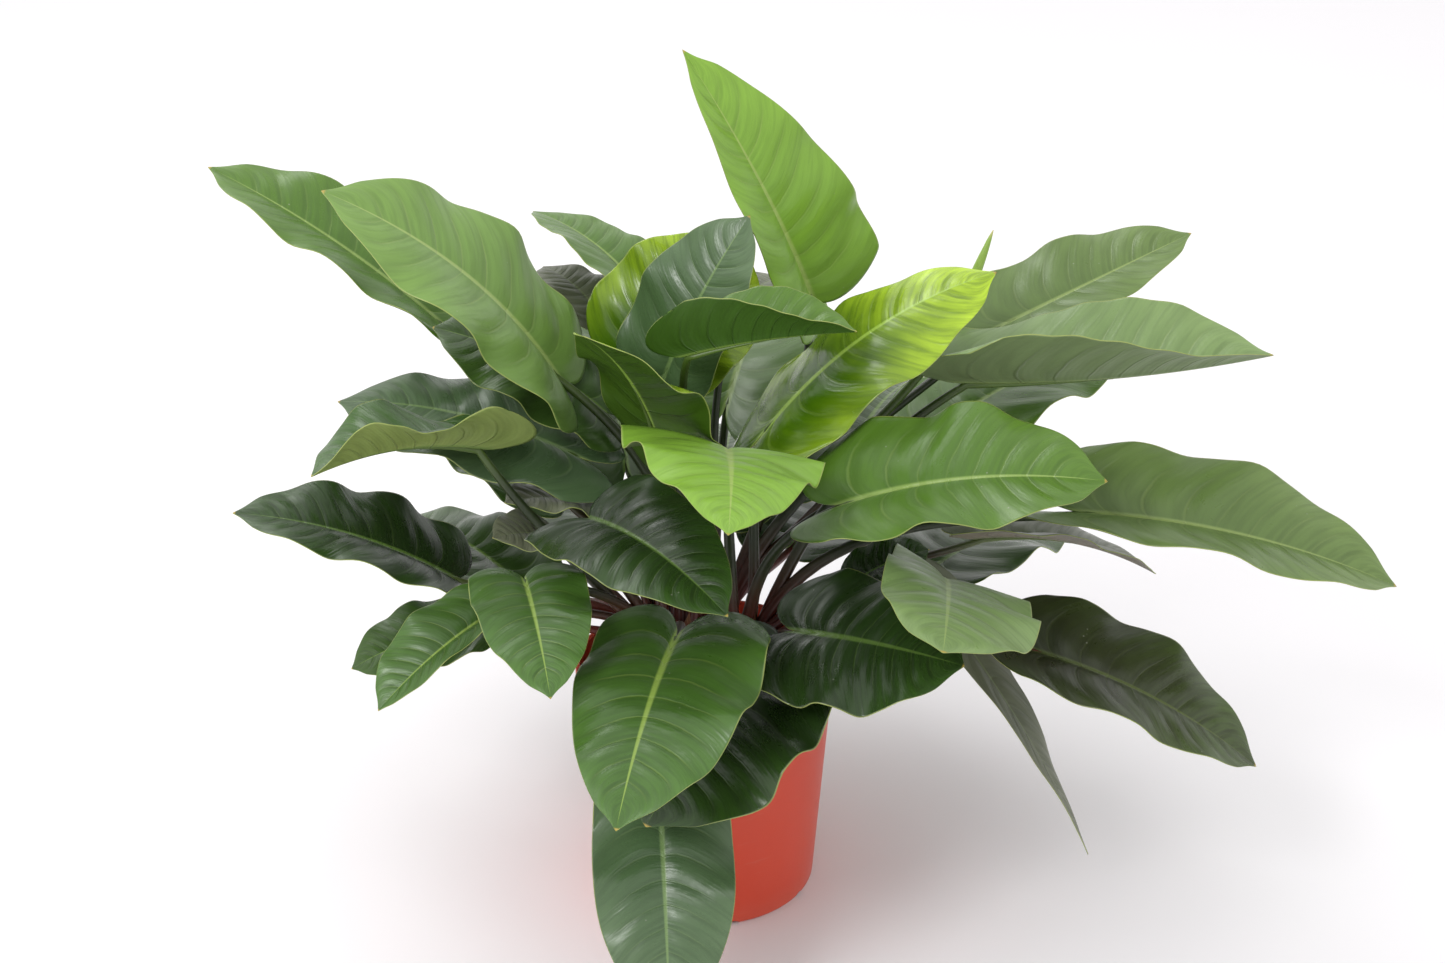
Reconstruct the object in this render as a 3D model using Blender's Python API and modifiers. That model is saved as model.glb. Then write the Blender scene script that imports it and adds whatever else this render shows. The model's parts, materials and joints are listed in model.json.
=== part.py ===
"""Potted imperial green philodendron: a thin plastic pot, its soil, one rootstock with short crowns and their
petioles, and every leaf blade as a solid of its own. Metres, +Z up. The origin is the middle of the pot's base,
on the surface that it stands on, and the plant's best side faces -Y."""
import itertools
import math
from typing import NamedTuple

import bmesh
import bpy
from mathutils import Matrix, Vector
from mathutils import noise
from mathutils.bvhtree import BVHTree

CM = 0.01
GAP = 0.0003

# Pot
POT_HEIGHT = 0.233
POT_FOOT_RADIUS = 0.105
POT_RIM_RADIUS = 0.122
POT_SLOPE = (POT_RIM_RADIUS - POT_FOOT_RADIUS) / POT_HEIGHT
POT_WALL = 0.0018
POT_FLOOR = 0.0025
POT_FOOT_ROUND = 0.004
RIM_BAND_HEIGHT = 0.014
RIM_BAND_REACH = 0.0028
RIM_LIP = 0.0012
POT_STEPS = 36
DRAIN_HOLES = 8
DRAIN_HOLE_RADIUS = 0.0055
DRAIN_RING_RADIUS = 0.062
FOOT_NOTCHES = 8
FOOT_NOTCH_TURN = 0.32
FOOT_NOTCH_WIDTH = 0.012
FOOT_NOTCH_HEIGHT = 0.004
CUTTER_DEPTH = 0.016

# Soil
SOIL_TOP = 0.206
SOIL_CROWN = 0.004
SOIL_ROUGHNESS = 0.0025
SOIL_GRAIN = 60.0
SOIL_RINGS = 4

# Rootstock and crowns
ROOTSTOCK_RADIUS = 0.036
ROOTSTOCK_FOOT = 0.12
ROOTSTOCK_TOP = 0.224
ROOTSTOCK_STEPS = 24
CROWN_FOOT = 0.205
CROWN_TOP = 0.25
CROWN_RADIUS = 0.018
CROWNS = ((-2.6, -1.4), (2.8, -1.6), (0.4, 2.8))
BRACTS = ((0, -70, 31.0), (1, 30, 34.0), (2, 80, 32.0))
BRACT_RADIUS = 0.0075
BRACT_LEAN = 0.018

# Petioles
PETIOLE_FOOT_RADIUS = 0.0064
PETIOLE_NECK_RADIUS = 0.0038
PETIOLE_STEPS = 7
PETIOLE_APPROACH = 0.002
SEATING_STEPS = 4
SEATING_SHARES = (0.0, 0.03, 0.08, 0.15, 0.25, 0.4)
PETIOLE_TIERS = 4
PETIOLE_TIER_STEP = 0.006
FULL_LEAF_WIDTH = 15.0

# Blades
BLADE_THICKNESS = 0.0011
BLADE_GRID = (6, 8)
SMALL_BLADE_GRID = (4, 6)
SMALL_BLADE_WIDTH = 10.5

# The newest leaf, still rolled into a spear
SPEAR_FOOT = (23.5, 13.5, 52.0)
SPEAR_TIP = (27.0, 14.5, 61.5)
SPEAR_RADIUS = 0.0075


class Leaf(NamedTuple):
    """One leaf, in centimetres and degrees. The heart is where the petiole meets the blade. Roll turns the
    blade's face about its chord, towards its right half. Fold lifts the left and the right half from the
    midrib, and opens is the share of the fold that is gone at the tip. Arch and sway bow the midrib up and to
    the right as shares of its length, and twist turns the blade along it. Cup lets the margins hang, and wave
    is the height of the margin's waves, both as shares of half the width. Lobe is how far the basal lobes
    reach back, as a share of the length. A low taper narrows the blade early, and a high one keeps it broad
    until near its tip. Halves sets the share of the left and the right half that shows where a margin is
    rolled in or spreads wider, and bend moves the middle of the petiole."""
    name: str
    tone: str
    heart: tuple
    tip: tuple
    width: float
    roll: float = 0.0
    fold: tuple = (14, 14)
    opens: float = 0.3
    arch: float = 0.08
    sway: float = 0.0
    twist: float = 0.0
    cup: float = 0.15
    wave: float = 0.10
    waves: float = 2.5
    phase: float = 0.0
    lobe: float = 0.2
    taper: float = 3.0
    halves: tuple = (1, 1)
    bend: tuple = (0, 0, 0)


LEAVES = [
    Leaf("leaf_01", "mid", (-25, 12, 53), (-47, 18, 66.5), 14, roll=-20, fold=(45, 8), arch=0.05, waves=3),
    Leaf("leaf_02", "mid", (-13.5, 2, 52), (-33, -2, 71), 17, roll=-30, fold=(24, 8), arch=0.10, lobe=0.12,
         bend=(4, 0, 1.5)),
    Leaf("leaf_03", "deep", (-10, 5, 47.5), (-25, 5, 55.5), 13, roll=-20, bend=(2, 0, 1.5)),
    Leaf("leaf_04", "mid", (-5.5, 14, 54.5), (-17, 24, 60), 12, roll=15, fold=(20, 20), wave=0.04),
    Leaf("leaf_05", "lime", (-6, 6, 52.5), (4, 9, 61.5), 15, roll=50),
    Leaf("leaf_06", "deep", (-4, 2, 51), (4, 3, 67), 12, roll=50, fold=(8, 30), bend=(2, -1, 0)),
    Leaf("leaf_07", "mid", (-1.5, -7.5, 58), (13, -9.5, 61), 11, fold=(38, 75), arch=0.03, wave=0.2,
         waves=0.6, phase=-0.5, bend=(3, 4, 1.5)),
    Leaf("leaf_08", "lime", (-4, -3, 46.5), (-10, -13, 62), 15, fold=(5, 25), halves=(1, 0.8)),
    Leaf("leaf_09", "mid", (10, 13.5, 55), (-2, 8.5, 80.5), 17, roll=-85, fold=(50, 5), waves=3, lobe=0.08,
         taper=1.5, halves=(0.75, 1.05), bend=(1, -1, 0)),
    Leaf("leaf_10", "lime", (5.5, 0, 47.5), (26.5, 6, 60.5), 14, roll=15, fold=(-20, 10), arch=0.11, twist=15,
         lobe=0.25),
    Leaf("leaf_11", "mid", (28, 18, 50), (48, 26, 57), 13, roll=25, fold=(5, 30), arch=0, halves=(1, 0.7)),
    Leaf("leaf_12", "mid", (24, 4, 50.5), (51.5, 2, 54), 18, fold=(28, 45), opens=0, arch=-0.03, wave=0.25,
         waves=0.5, phase=-0.65),
    Leaf("leaf_13", "mid", (12.5, -10, 45), (34.5, -14, 49), 17, roll=22, fold=(14, 30), bend=(-1, 0, 1.5)),
    Leaf("leaf_14", "mid", (35, -2, 40), (63, -6, 34.5), 16, roll=30, fold=(12, 50), taper=2.6,
         bend=(0, 1, 1.5)),
    Leaf("leaf_15", "dusky", (26, 2, 35.5), (43, 4, 30.5), 11, fold=(5, 40), wave=0.05),
    Leaf("leaf_16", "deep", (30, -8, 29), (50.5, -12, 19), 14, roll=22, fold=(14, 30), lobe=0.16, taper=2.6,
         halves=(1, 0.88), bend=(0, -2, 1.5)),
    Leaf("leaf_17", "dusky", (21, -2.5, 31.5), (37, -5, 4.5), 8, roll=50, twist=-60, lobe=0.12, taper=1.3,
         halves=(0.8, 0.5)),
    Leaf("leaf_18", "mid", (21.5, -9, 37), (19.6, -28, 40.2), 15.5, roll=-10, fold=(0, 30), opens=0.8,
         lobe=0.06, taper=4.5, halves=(1, 0.75), bend=(0, 0, -1.5)),
    Leaf("leaf_19", "deep", (8, -16, 35.5), (22, -23, 36), 16, roll=25, fold=(0, 14), arch=0.04,
         bend=(2, 0, 0)),
    Leaf("leaf_20", "deep", (-10, -11, 44), (2, -27, 43), 14.5, roll=8, fold=(26, 14), wave=0.06, lobe=0.08,
         taper=2.2, halves=(0.9, 1)),
    Leaf("leaf_21", "deep", (-2.5, -18, 36), (-7, -38, 29.5), 16.5, taper=2.4, halves=(1.1, 0.84)),
    Leaf("leaf_22", "deep", (6, -14, 31), (-5, -27, 22.5), 17, taper=4.5, halves=(1.12, 1)),
    Leaf("leaf_23", "deep", (-4, -20, 21.5), (-3, -33, 6.5), 12.5),
    Leaf("leaf_24", "deep", (-23, -6, 35.5), (-42, -8, 43), 12, roll=-20, fold=(30, 8), waves=3, lobe=0.08,
         halves=(0.85, 1.05), bend=(0, 2, 0)),
    Leaf("leaf_25", "dusky", (-18.5, -4, 32), (-23, -8, 32), 5),
    Leaf("leaf_26", "deep", (-15.5, -16.5, 40.8), (-12.5, -30, 37), 10.5, lobe=0.15, taper=2.2),
    Leaf("leaf_27", "deep", (-19, -14, 36), (-28, -22, 31), 8.5, roll=-20, fold=(45, 14), halves=(0.6, 1)),
    Leaf("leaf_28", "deep", (-22, -4, 29.3), (-32.5, -8, 27), 8, roll=-20),
    Leaf("leaf_29", "mid", (-20, -6, 48.5), (-34, -12, 48.5), 14, fold=(58, 20), wave=0.2, waves=1.3,
         phase=1.85, lobe=0.28, taper=4.5, halves=(1, 0.88), bend=(-2, -4, 0)),
    Leaf("leaf_30", "deep", (-12, 1, 44.5), (-34, 4, 48.5), 14, roll=-15, fold=(10, 0), bend=(1, 0, 0)),
    Leaf("leaf_31", "dusky", (-10, -1, 40), (-18, -6, 43), 8),
    Leaf("leaf_32", "dusky", (-14, -3, 38), (-19, -8, 40.5), 6, roll=-20),
    Leaf("leaf_33", "mid", (2, -10.5, 50.5), (2, -28, 51), 18, roll=-12, fold=(8, 8), lobe=0.12, taper=1.3,
         halves=(1, 1.12)),
    Leaf("leaf_34", "deep", (14, -4.5, 34.5), (20.5, -3.5, 37), 6, roll=20),
    Leaf("leaf_35", "dusky", (2.5, 14, 53.5), (8, 24, 53), 10),
    Leaf("leaf_36", "dusky", (-10, 14, 53), (-16, 22, 55), 7),
    Leaf("leaf_37", "deep", (-8, 14, 38), (-12, 42, 42), 15),
    Leaf("leaf_38", "mid", (2, 16, 43), (8, 45, 44), 16),
    Leaf("leaf_39", "deep", (13, 16, 35), (22, 40, 35), 15),
    Leaf("leaf_40", "deep", (-15, 12, 36), (-29, 28, 37), 14),
    Leaf("leaf_41", "mid", (22, 13, 41), (42, 28, 43), 15),
    Leaf("leaf_42", "deep", (-8, 16, 28), (-15, 37, 22), 14),
    Leaf("leaf_43", "deep", (9, 16, 28), (18, 38, 21), 14),
    Leaf("leaf_44", "deep", (1, 20, 30), (3, 46, 27), 15),
    Leaf("leaf_45", "deep", (-19, 8, 28), (-33, 24, 26), 12),
    Leaf("leaf_46", "deep", (22, 8, 29), (36, 26, 23), 13),
]

# Base colour and roughness of the leaves by their age
LEAF_TONES = {
    "lime": ((0.20, 0.38, 0.05), 0.30),
    "mid": ((0.11, 0.23, 0.055), 0.42),
    "deep": ((0.035, 0.095, 0.025), 0.36),
    "dusky": ((0.07, 0.11, 0.05), 0.5),
}


def clear_scene():
    for item in list(bpy.data.objects):
        bpy.data.objects.remove(item, do_unlink=True)


def new_collection(name):
    collection = bpy.data.collections.new(name)
    bpy.context.scene.collection.children.link(collection)
    return collection


def make_material(name, colour, roughness):
    material = bpy.data.materials.new(name)
    material.use_nodes = True
    shader = material.node_tree.nodes["Principled BSDF"]
    shader.inputs["Base Color"].default_value = (*colour, 1.0)
    shader.inputs["Roughness"].default_value = roughness
    shader.inputs["Metallic"].default_value = 0.0
    return material


def add_object(name, mesh, material, collection):
    item = bpy.data.objects.new(name, mesh)
    collection.objects.link(item)
    if material:
        mesh.materials.append(material)
    return item


def turned_object(name, profile, steps, material, collection):
    """Turn a profile of (radius, height) points about Z. It starts and ends on the axis, and runs down the
    outer side, top to bottom."""
    mesh = bpy.data.meshes.new(name)
    shape = bmesh.new()
    verts = [shape.verts.new((radius, 0.0, height)) for radius, height in profile]
    for first, second in zip(verts, verts[1:]):
        shape.edges.new((first, second))
    shape.to_mesh(mesh)
    shape.free()
    item = add_object(name, mesh, material, collection)
    screw = item.modifiers.new("Turn", "SCREW")
    screw.axis = "Z"
    screw.steps = steps
    screw.render_steps = steps
    screw.use_merge_vertices = True
    screw.merge_threshold = 0.00001
    return item


def apply_modifiers(item):
    """Keep the shape that the modifiers make as the object's own mesh."""
    graph = bpy.context.evaluated_depsgraph_get()
    mesh = bpy.data.meshes.new_from_object(item.evaluated_get(graph))
    item.modifiers.clear()
    item.data = mesh
    return item


def make_cutter(name, radius, place, turn, sides, collection):
    """A round cutter, standing on end unless turn lays it down."""
    mesh = bpy.data.meshes.new(name)
    shape = bmesh.new()
    bmesh.ops.create_cone(
        shape, cap_ends=True, segments=sides, radius1=radius, radius2=radius, depth=CUTTER_DEPTH)
    shape.to_mesh(mesh)
    shape.free()
    cutter = add_object(name, mesh, None, collection)
    cutter.matrix_world = Matrix.Translation(place) @ turn
    cutter.hide_render = True
    cutter.display_type = "WIRE"
    return cutter


def ring_place(radius, turn):
    return Vector((radius * math.cos(turn), radius * math.sin(turn), 0.0))


def make_pot(parts, cutters, material):
    """A tapered nursery pot with a rolled band at its rim, drain holes and small notches in its foot."""
    band_foot = POT_HEIGHT - RIM_BAND_HEIGHT
    band_radius = POT_RIM_RADIUS + RIM_BAND_REACH
    inner_rim = POT_RIM_RADIUS - POT_WALL
    inner_foot = POT_FOOT_RADIUS - POT_WALL
    profile = [
        (0.0, POT_FLOOR),
        (inner_foot - POT_FOOT_ROUND, POT_FLOOR),
        (inner_foot, POT_FLOOR + POT_FOOT_ROUND),
        (inner_rim, POT_HEIGHT - RIM_LIP),
        (inner_rim + RIM_LIP, POT_HEIGHT),
        (band_radius - RIM_LIP, POT_HEIGHT),
        (band_radius, POT_HEIGHT - RIM_LIP),
        (band_radius, band_foot),
        (POT_FOOT_RADIUS + POT_SLOPE * band_foot, band_foot - RIM_LIP),
        (POT_FOOT_RADIUS + POT_SLOPE * POT_FOOT_ROUND, POT_FOOT_ROUND),
        (POT_FOOT_RADIUS - POT_FOOT_ROUND * 0.3, POT_FOOT_ROUND * 0.3),
        (POT_FOOT_RADIUS - POT_FOOT_ROUND, 0.0),
        (0.0, 0.0),
    ]
    pot = turned_object("pot", profile, POT_STEPS, material, parts)
    for index in range(DRAIN_HOLES):
        place = ring_place(DRAIN_RING_RADIUS, math.tau * index / DRAIN_HOLES)
        make_cutter(f"drain_hole_{index}", DRAIN_HOLE_RADIUS, place, Matrix.Identity(4), 10, cutters)
    squat = Matrix.Diagonal((FOOT_NOTCH_HEIGHT / (FOOT_NOTCH_WIDTH / 2), 1.0, 1.0, 1.0))
    for index in range(FOOT_NOTCHES):
        turn = math.tau * (index + FOOT_NOTCH_TURN) / FOOT_NOTCHES
        lying = Matrix.Rotation(turn, 4, "Z") @ Matrix.Rotation(math.radians(90), 4, "Y") @ squat
        place = ring_place(POT_FOOT_RADIUS, turn)
        make_cutter(f"foot_notch_{index}", FOOT_NOTCH_WIDTH / 2, place, lying, 12, cutters)
    cut = pot.modifiers.new("Drain holes and foot notches", "BOOLEAN")
    cut.operation = "DIFFERENCE"
    cut.operand_type = "COLLECTION"
    cut.collection = cutters
    return pot


def make_soil(parts, material):
    """The potting mix fills the pot to just below its rim, with a plain round hole for the rootstock."""
    inner_foot = POT_FOOT_RADIUS - POT_WALL - GAP
    edge_radius = inner_foot + POT_SLOPE * SOIL_TOP
    hole = ROOTSTOCK_RADIUS + GAP
    foot = POT_FLOOR + GAP
    profile = [(0.0, ROOTSTOCK_FOOT - GAP), (hole, ROOTSTOCK_FOOT - GAP)]
    for step in range(SOIL_RINGS + 1):
        share = step / SOIL_RINGS
        radius = hole + (edge_radius - hole) * share
        profile.append((radius, SOIL_TOP + SOIL_CROWN * math.cos(share * math.pi / 2)))
    profile += [
        (inner_foot + POT_SLOPE * POT_FOOT_ROUND, foot + POT_FOOT_ROUND),
        (inner_foot - POT_FOOT_ROUND, foot),
        (0.0, foot),
    ]
    soil = apply_modifiers(turned_object("soil", profile, POT_STEPS, material, parts))
    for vert in soil.data.vertices:
        radius = math.hypot(vert.co.x, vert.co.y)
        if vert.co.z > SOIL_TOP - GAP and hole + GAP < radius < edge_radius - GAP:
            vert.co.z += SOIL_ROUGHNESS * noise.noise(vert.co * SOIL_GRAIN)
    return soil


def bow(share):
    """0 at both ends and 1 in the middle."""
    return 4.0 * share * (1.0 - share)


def midrib_frame(leaf, v):
    """A point of the midrib at a share v of its length, and the directions along, out of and across it."""
    heart = Vector(leaf.heart) * CM
    chord = Vector(leaf.tip) * CM - heart
    along = chord.normalized()
    up = Vector((0.0, 0.0, 1.0))
    face = Matrix.Rotation(math.radians(leaf.roll), 3, along) @ (up - along * up.dot(along)).normalized()
    rise = (face * leaf.arch + along.cross(face) * leaf.sway) * chord.length
    point = heart + chord * v + rise * bow(v)
    heading = (chord + rise * (4.0 - 8.0 * v)).normalized()
    turned = Matrix.Rotation(math.radians(leaf.twist) * v, 3, along) @ face
    normal = (turned - heading * turned.dot(heading)).normalized()
    return point, heading, normal, heading.cross(normal)


def half_width(leaf, v):
    """Broad from the base to past the middle, and then rounded into a short point."""
    return 0.5 * leaf.width * CM * (1.0 - v ** leaf.taper) ** 0.85 * (0.95 + 0.3 * v)


def blade_point(leaf, u, v):
    """A point of the blade: u runs across it from -1 to 1, and v along the midrib from the heart to the tip."""
    point, heading, normal, side = midrib_frame(leaf, v)
    length = (Vector(leaf.tip) - Vector(leaf.heart)).length * CM
    across = abs(u)
    fold = math.radians(leaf.fold[1] if u > 0 else leaf.fold[0]) * (1.0 - leaf.opens * v)
    lobe = leaf.lobe * length * math.sin(math.pi * across ** 0.8) ** 0.7 * (1.0 - v) ** 5
    ripple = math.sin(math.tau * leaf.waves * v + leaf.phase + (1.7 if u > 0 else 0.0))
    ripple *= min(1.0, 6.0 * v + 0.3) * min(1.0, 4.0 * (1.0 - v))
    lift = across * math.sin(fold) + across ** 2 * (leaf.wave * ripple - leaf.cup)
    out = side if u > 0 else -side
    reach = half_width(leaf, v) * leaf.halves[1 if u > 0 else 0]
    return point + (out * across * math.cos(fold) + normal * lift) * reach - heading * lobe


def make_blade(leaf, parts, material):
    """A grid laid out along the midrib. Its quads are split before it is thickened, so that both faces have
    the same triangles."""
    shape = bmesh.new()
    across, along = BLADE_GRID if leaf.width > SMALL_BLADE_WIDTH else SMALL_BLADE_GRID
    bmesh.ops.create_grid(shape, x_segments=across, y_segments=along, size=1.0)
    for vert in shape.verts:
        vert.co = blade_point(leaf, vert.co.x, (vert.co.y + 1.0) / 2.0)
    bmesh.ops.remove_doubles(shape, verts=shape.verts, dist=0.0002)
    mesh = bpy.data.meshes.new(leaf.name)
    shape.to_mesh(mesh)
    shape.free()
    blade = add_object(leaf.name, mesh, material, parts)
    blade.modifiers.new("Same triangles on both faces", "TRIANGULATE")
    thicken = blade.modifiers.new("Thickness", "SOLIDIFY")
    thicken.thickness = BLADE_THICKNESS
    thicken.offset = 0.0
    return blade


def make_tube(name, points, radii, resolution, collection):
    """A tapered tube along a row of points, as a closed mesh."""
    curve = bpy.data.curves.new(name, "CURVE")
    curve.dimensions = "3D"
    curve.bevel_depth = 1.0
    curve.bevel_resolution = resolution
    curve.use_fill_caps = True
    spline = curve.splines.new("POLY")
    spline.points.add(len(points) - 1)
    for knot, place, radius in zip(spline.points, points, radii):
        knot.co = (*place, 1.0)
        knot.radius = radius
    guide = bpy.data.objects.new(name + "_path", curve)
    collection.objects.link(guide)
    graph = bpy.context.evaluated_depsgraph_get()
    mesh = bpy.data.meshes.new_from_object(guide.evaluated_get(graph))
    tube = bpy.data.objects.new(name, mesh)
    tube.matrix_world = guide.matrix_world
    collection.objects.link(tube)
    bpy.data.objects.remove(guide, do_unlink=True)
    shape = bmesh.new()
    shape.from_mesh(mesh)
    bmesh.ops.remove_doubles(shape, verts=shape.verts, dist=0.00001)
    bmesh.ops.recalc_face_normals(shape, faces=shape.faces)
    shape.to_mesh(mesh)
    shape.free()
    return tube


def petiole_path(heart, heading, normal, neck_radius, tier, bend):
    """The centre line of a petiole: out of the nearest crown, up, and over to the underside of what it
    carries, which it meets at its heart."""
    crowns = [Vector((x * CM, y * CM, CROWN_TOP - PETIOLE_TIER_STEP * (2 + tier))) for x, y in CROWNS]
    crown = min(crowns, key=lambda place: (heart - place).xy.length)
    outward = Vector((*(heart - crown).xy.normalized(), 0.0))
    foot = crown + outward * CROWN_RADIUS * 0.35
    reach = (heart - foot).length
    arrive = ((heart - foot) / reach * 0.7 + heading * 0.5).normalized()
    tilt = math.sqrt(max(0.0, 1.0 - arrive.dot(normal) ** 2))
    end = heart - normal * (BLADE_THICKNESS / 2 + neck_radius * tilt + PETIOLE_APPROACH)
    rise = Vector((outward.x * 0.12, outward.y * 0.12, 0.4)) * reach
    controls = (foot, foot + rise, end - arrive * reach * 0.35, end)
    points = []
    for step in range(PETIOLE_STEPS + 1):
        t = step / PETIOLE_STEPS
        weights = ((1 - t) ** 3, 3 * (1 - t) ** 2 * t, 3 * (1 - t) * t ** 2, t ** 3)
        place = Vector(bend) * CM * bow(t)
        for weight, control in zip(weights, controls):
            place += weight * control
        points.append(place)
    return points


def petiole_radii(neck_radius, foot_radius):
    shares = [step / PETIOLE_STEPS for step in range(PETIOLE_STEPS + 1)]
    return [foot_radius + (neck_radius - foot_radius) * share for share in shares]


def leaf_petiole(leaf, tier):
    """The path and the radii of a leaf's petiole, thinner on a small leaf, and the way up to its blade."""
    heart, heading, normal, _ = midrib_frame(leaf, 0.0)
    stoutness = 0.5 + 0.5 * min(1.0, leaf.width / FULL_LEAF_WIDTH)
    neck = PETIOLE_NECK_RADIUS * stoutness
    path = petiole_path(heart, heading, normal, neck, tier, leaf.bend)
    return path, petiole_radii(neck, PETIOLE_FOOT_RADIUS * stoutness), normal


def spear_petiole():
    foot = Vector(SPEAR_FOOT) * CM
    heading = (Vector(SPEAR_TIP) * CM - foot).normalized()
    path = petiole_path(foot, heading, heading, PETIOLE_NECK_RADIUS, 0, (0, 0, 0))
    return path, petiole_radii(PETIOLE_NECK_RADIUS, PETIOLE_FOOT_RADIUS), heading


def seat_petiole(tube, path, radii, way_up, blade):
    """Move the upper end of a petiole until it lies one gap from the underside of its blade."""
    underside = BVHTree.FromObject(blade, bpy.context.evaluated_depsgraph_get())
    rim = [vert for vert in tube.data.vertices if (vert.co - path[-1]).length < radii[-1] * 1.2]
    back = path[-2] - path[-1]
    for _ in range(SEATING_STEPS):
        places = [(first.co + second.co) / 2 for first, second in itertools.combinations(rim, 2)]
        for share in SEATING_SHARES:
            places += [vert.co + back * share for vert in rim]
        clearance = min(underside.find_nearest(place)[3] for place in places)
        for vert in rim:
            vert.co += way_up * (clearance - GAP)


def make_spear(parts, material):
    """A new leaf still rolled up: a slim spindle that ends in a sharp point."""
    foot = Vector(SPEAR_FOOT) * CM
    tip = Vector(SPEAR_TIP) * CM
    shares = [step / 6 for step in range(7)]
    points = [foot.lerp(tip, share) for share in shares]
    radii = [SPEAR_RADIUS * (0.55 + 1.6 * share) * (1.02 - share) for share in shares]
    spear = make_tube("spear", points, radii, 2, parts)
    spear.data.materials.append(material)
    return spear


def make_stems(parts, shoots, material, blades, spear):
    """The rootstock, its crowns, their bracts and all petioles grow together as one body."""
    profile = [
        (0.0, ROOTSTOCK_TOP),
        (ROOTSTOCK_RADIUS * 0.7, ROOTSTOCK_TOP - 0.002),
        (ROOTSTOCK_RADIUS, ROOTSTOCK_TOP - 0.011),
        (ROOTSTOCK_RADIUS, ROOTSTOCK_FOOT + 0.006),
        (ROOTSTOCK_RADIUS * 0.8, ROOTSTOCK_FOOT),
        (0.0, ROOTSTOCK_FOOT),
    ]
    stems = apply_modifiers(turned_object("stems", profile, ROOTSTOCK_STEPS, material, parts))
    for index, (x, y) in enumerate(CROWNS):
        foot = Vector((x * CM * 0.5, y * CM * 0.5, CROWN_FOOT))
        top = Vector((x * CM, y * CM, CROWN_TOP))
        points = [foot, foot.lerp(top, 0.5), top, top + Vector((0.0, 0.0, CROWN_RADIUS / 2))]
        radii = [CROWN_RADIUS * share for share in (0.8, 1.0, 0.9, 0.5)]
        make_tube(f"crown_{index}", points, radii, 2, shoots)
    for index, (crown, turn, height) in enumerate(BRACTS):
        x, y = CROWNS[crown]
        foot = Vector((x * CM, y * CM, CROWN_TOP - 0.01))
        top = foot + ring_place(BRACT_LEAN, math.radians(turn))
        top.z = height * CM
        radii = [BRACT_RADIUS, BRACT_RADIUS * 0.8, BRACT_RADIUS * 0.1]
        make_tube(f"bract_{index}", [foot, foot.lerp(top, 0.6), top], radii, 1, shoots)
    petioles = [leaf_petiole(leaf, index % PETIOLE_TIERS) for index, leaf in enumerate(LEAVES)]
    petioles.append(spear_petiole())
    for (path, radii, way_up), blade in zip(petioles, [*blades, spear]):
        tube = make_tube(f"petiole_of_{blade.name}", path, radii, 1, shoots)
        seat_petiole(tube, path, radii, way_up, blade)
    join = stems.modifiers.new("Grown together", "BOOLEAN")
    join.operation = "UNION"
    join.operand_type = "COLLECTION"
    join.collection = shoots
    apply_modifiers(stems)
    for item in list(shoots.objects):
        bpy.data.objects.remove(item, do_unlink=True)
    return stems


def main():
    clear_scene()
    parts = new_collection("potted_imperial_green_philodendron")
    cutters = new_collection("cutters")
    shoots = new_collection("shoots")
    make_pot(parts, cutters, make_material("pot_plastic", (0.45, 0.075, 0.045), 0.42))
    make_soil(parts, make_material("potting_mix", (0.045, 0.028, 0.018), 0.95))
    tones = {name: make_material(f"leaf_{name}", *finish) for name, finish in LEAF_TONES.items()}
    blades = [make_blade(leaf, parts, tones[leaf.tone]) for leaf in LEAVES]
    spear = make_spear(parts, tones["lime"])
    make_stems(parts, shoots, make_material("petiole_green", (0.045, 0.10, 0.03), 0.45), blades, spear)


main()
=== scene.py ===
# %% [markdown]
# # A potted imperial green philodendron
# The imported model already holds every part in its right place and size, as plain faceted solids. This scene
# dresses it: each blade is made again as a fine leaf with its veins, and stalks, pot and soil follow. All
# lengths are in metres, +Z is up, and the plant's best side faces -Y.

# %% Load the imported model
import json
import math
import random
from typing import NamedTuple

import bmesh
import bpy
from mathutils import Matrix, Vector, noise

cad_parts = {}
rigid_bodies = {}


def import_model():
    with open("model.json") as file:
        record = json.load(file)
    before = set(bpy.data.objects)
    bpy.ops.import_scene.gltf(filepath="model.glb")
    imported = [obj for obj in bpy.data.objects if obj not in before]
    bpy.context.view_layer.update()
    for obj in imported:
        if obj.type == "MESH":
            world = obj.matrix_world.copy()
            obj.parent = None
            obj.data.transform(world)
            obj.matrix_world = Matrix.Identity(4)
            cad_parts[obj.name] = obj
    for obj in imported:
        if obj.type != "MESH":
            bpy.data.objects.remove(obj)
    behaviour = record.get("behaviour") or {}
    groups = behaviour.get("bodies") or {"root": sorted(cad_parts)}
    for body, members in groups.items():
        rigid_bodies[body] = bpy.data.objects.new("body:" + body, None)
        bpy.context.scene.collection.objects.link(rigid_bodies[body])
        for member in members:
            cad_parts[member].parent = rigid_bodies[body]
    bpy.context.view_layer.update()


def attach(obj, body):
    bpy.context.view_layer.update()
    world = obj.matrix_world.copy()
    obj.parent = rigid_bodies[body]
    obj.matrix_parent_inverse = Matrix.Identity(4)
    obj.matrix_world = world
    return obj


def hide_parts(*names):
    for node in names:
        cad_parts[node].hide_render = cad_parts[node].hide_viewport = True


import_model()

CM = 0.01
MM = 0.001

# %% [markdown]
# ## Camera
# The photograph looks down on the plant from a little above it. A 60 mm lens on a 36 mm sensor, two metres
# in front of the pot, gives the same view. The lens and the tilt were found from the two ellipses that the
# pot's rim and foot make in the picture.

# %% Camera
CAMERA_PLACE = (0.0155, -1.995, 1.387)
CAMERA_TILT = 25.8
CAMERA_LENS = 60.0

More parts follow.
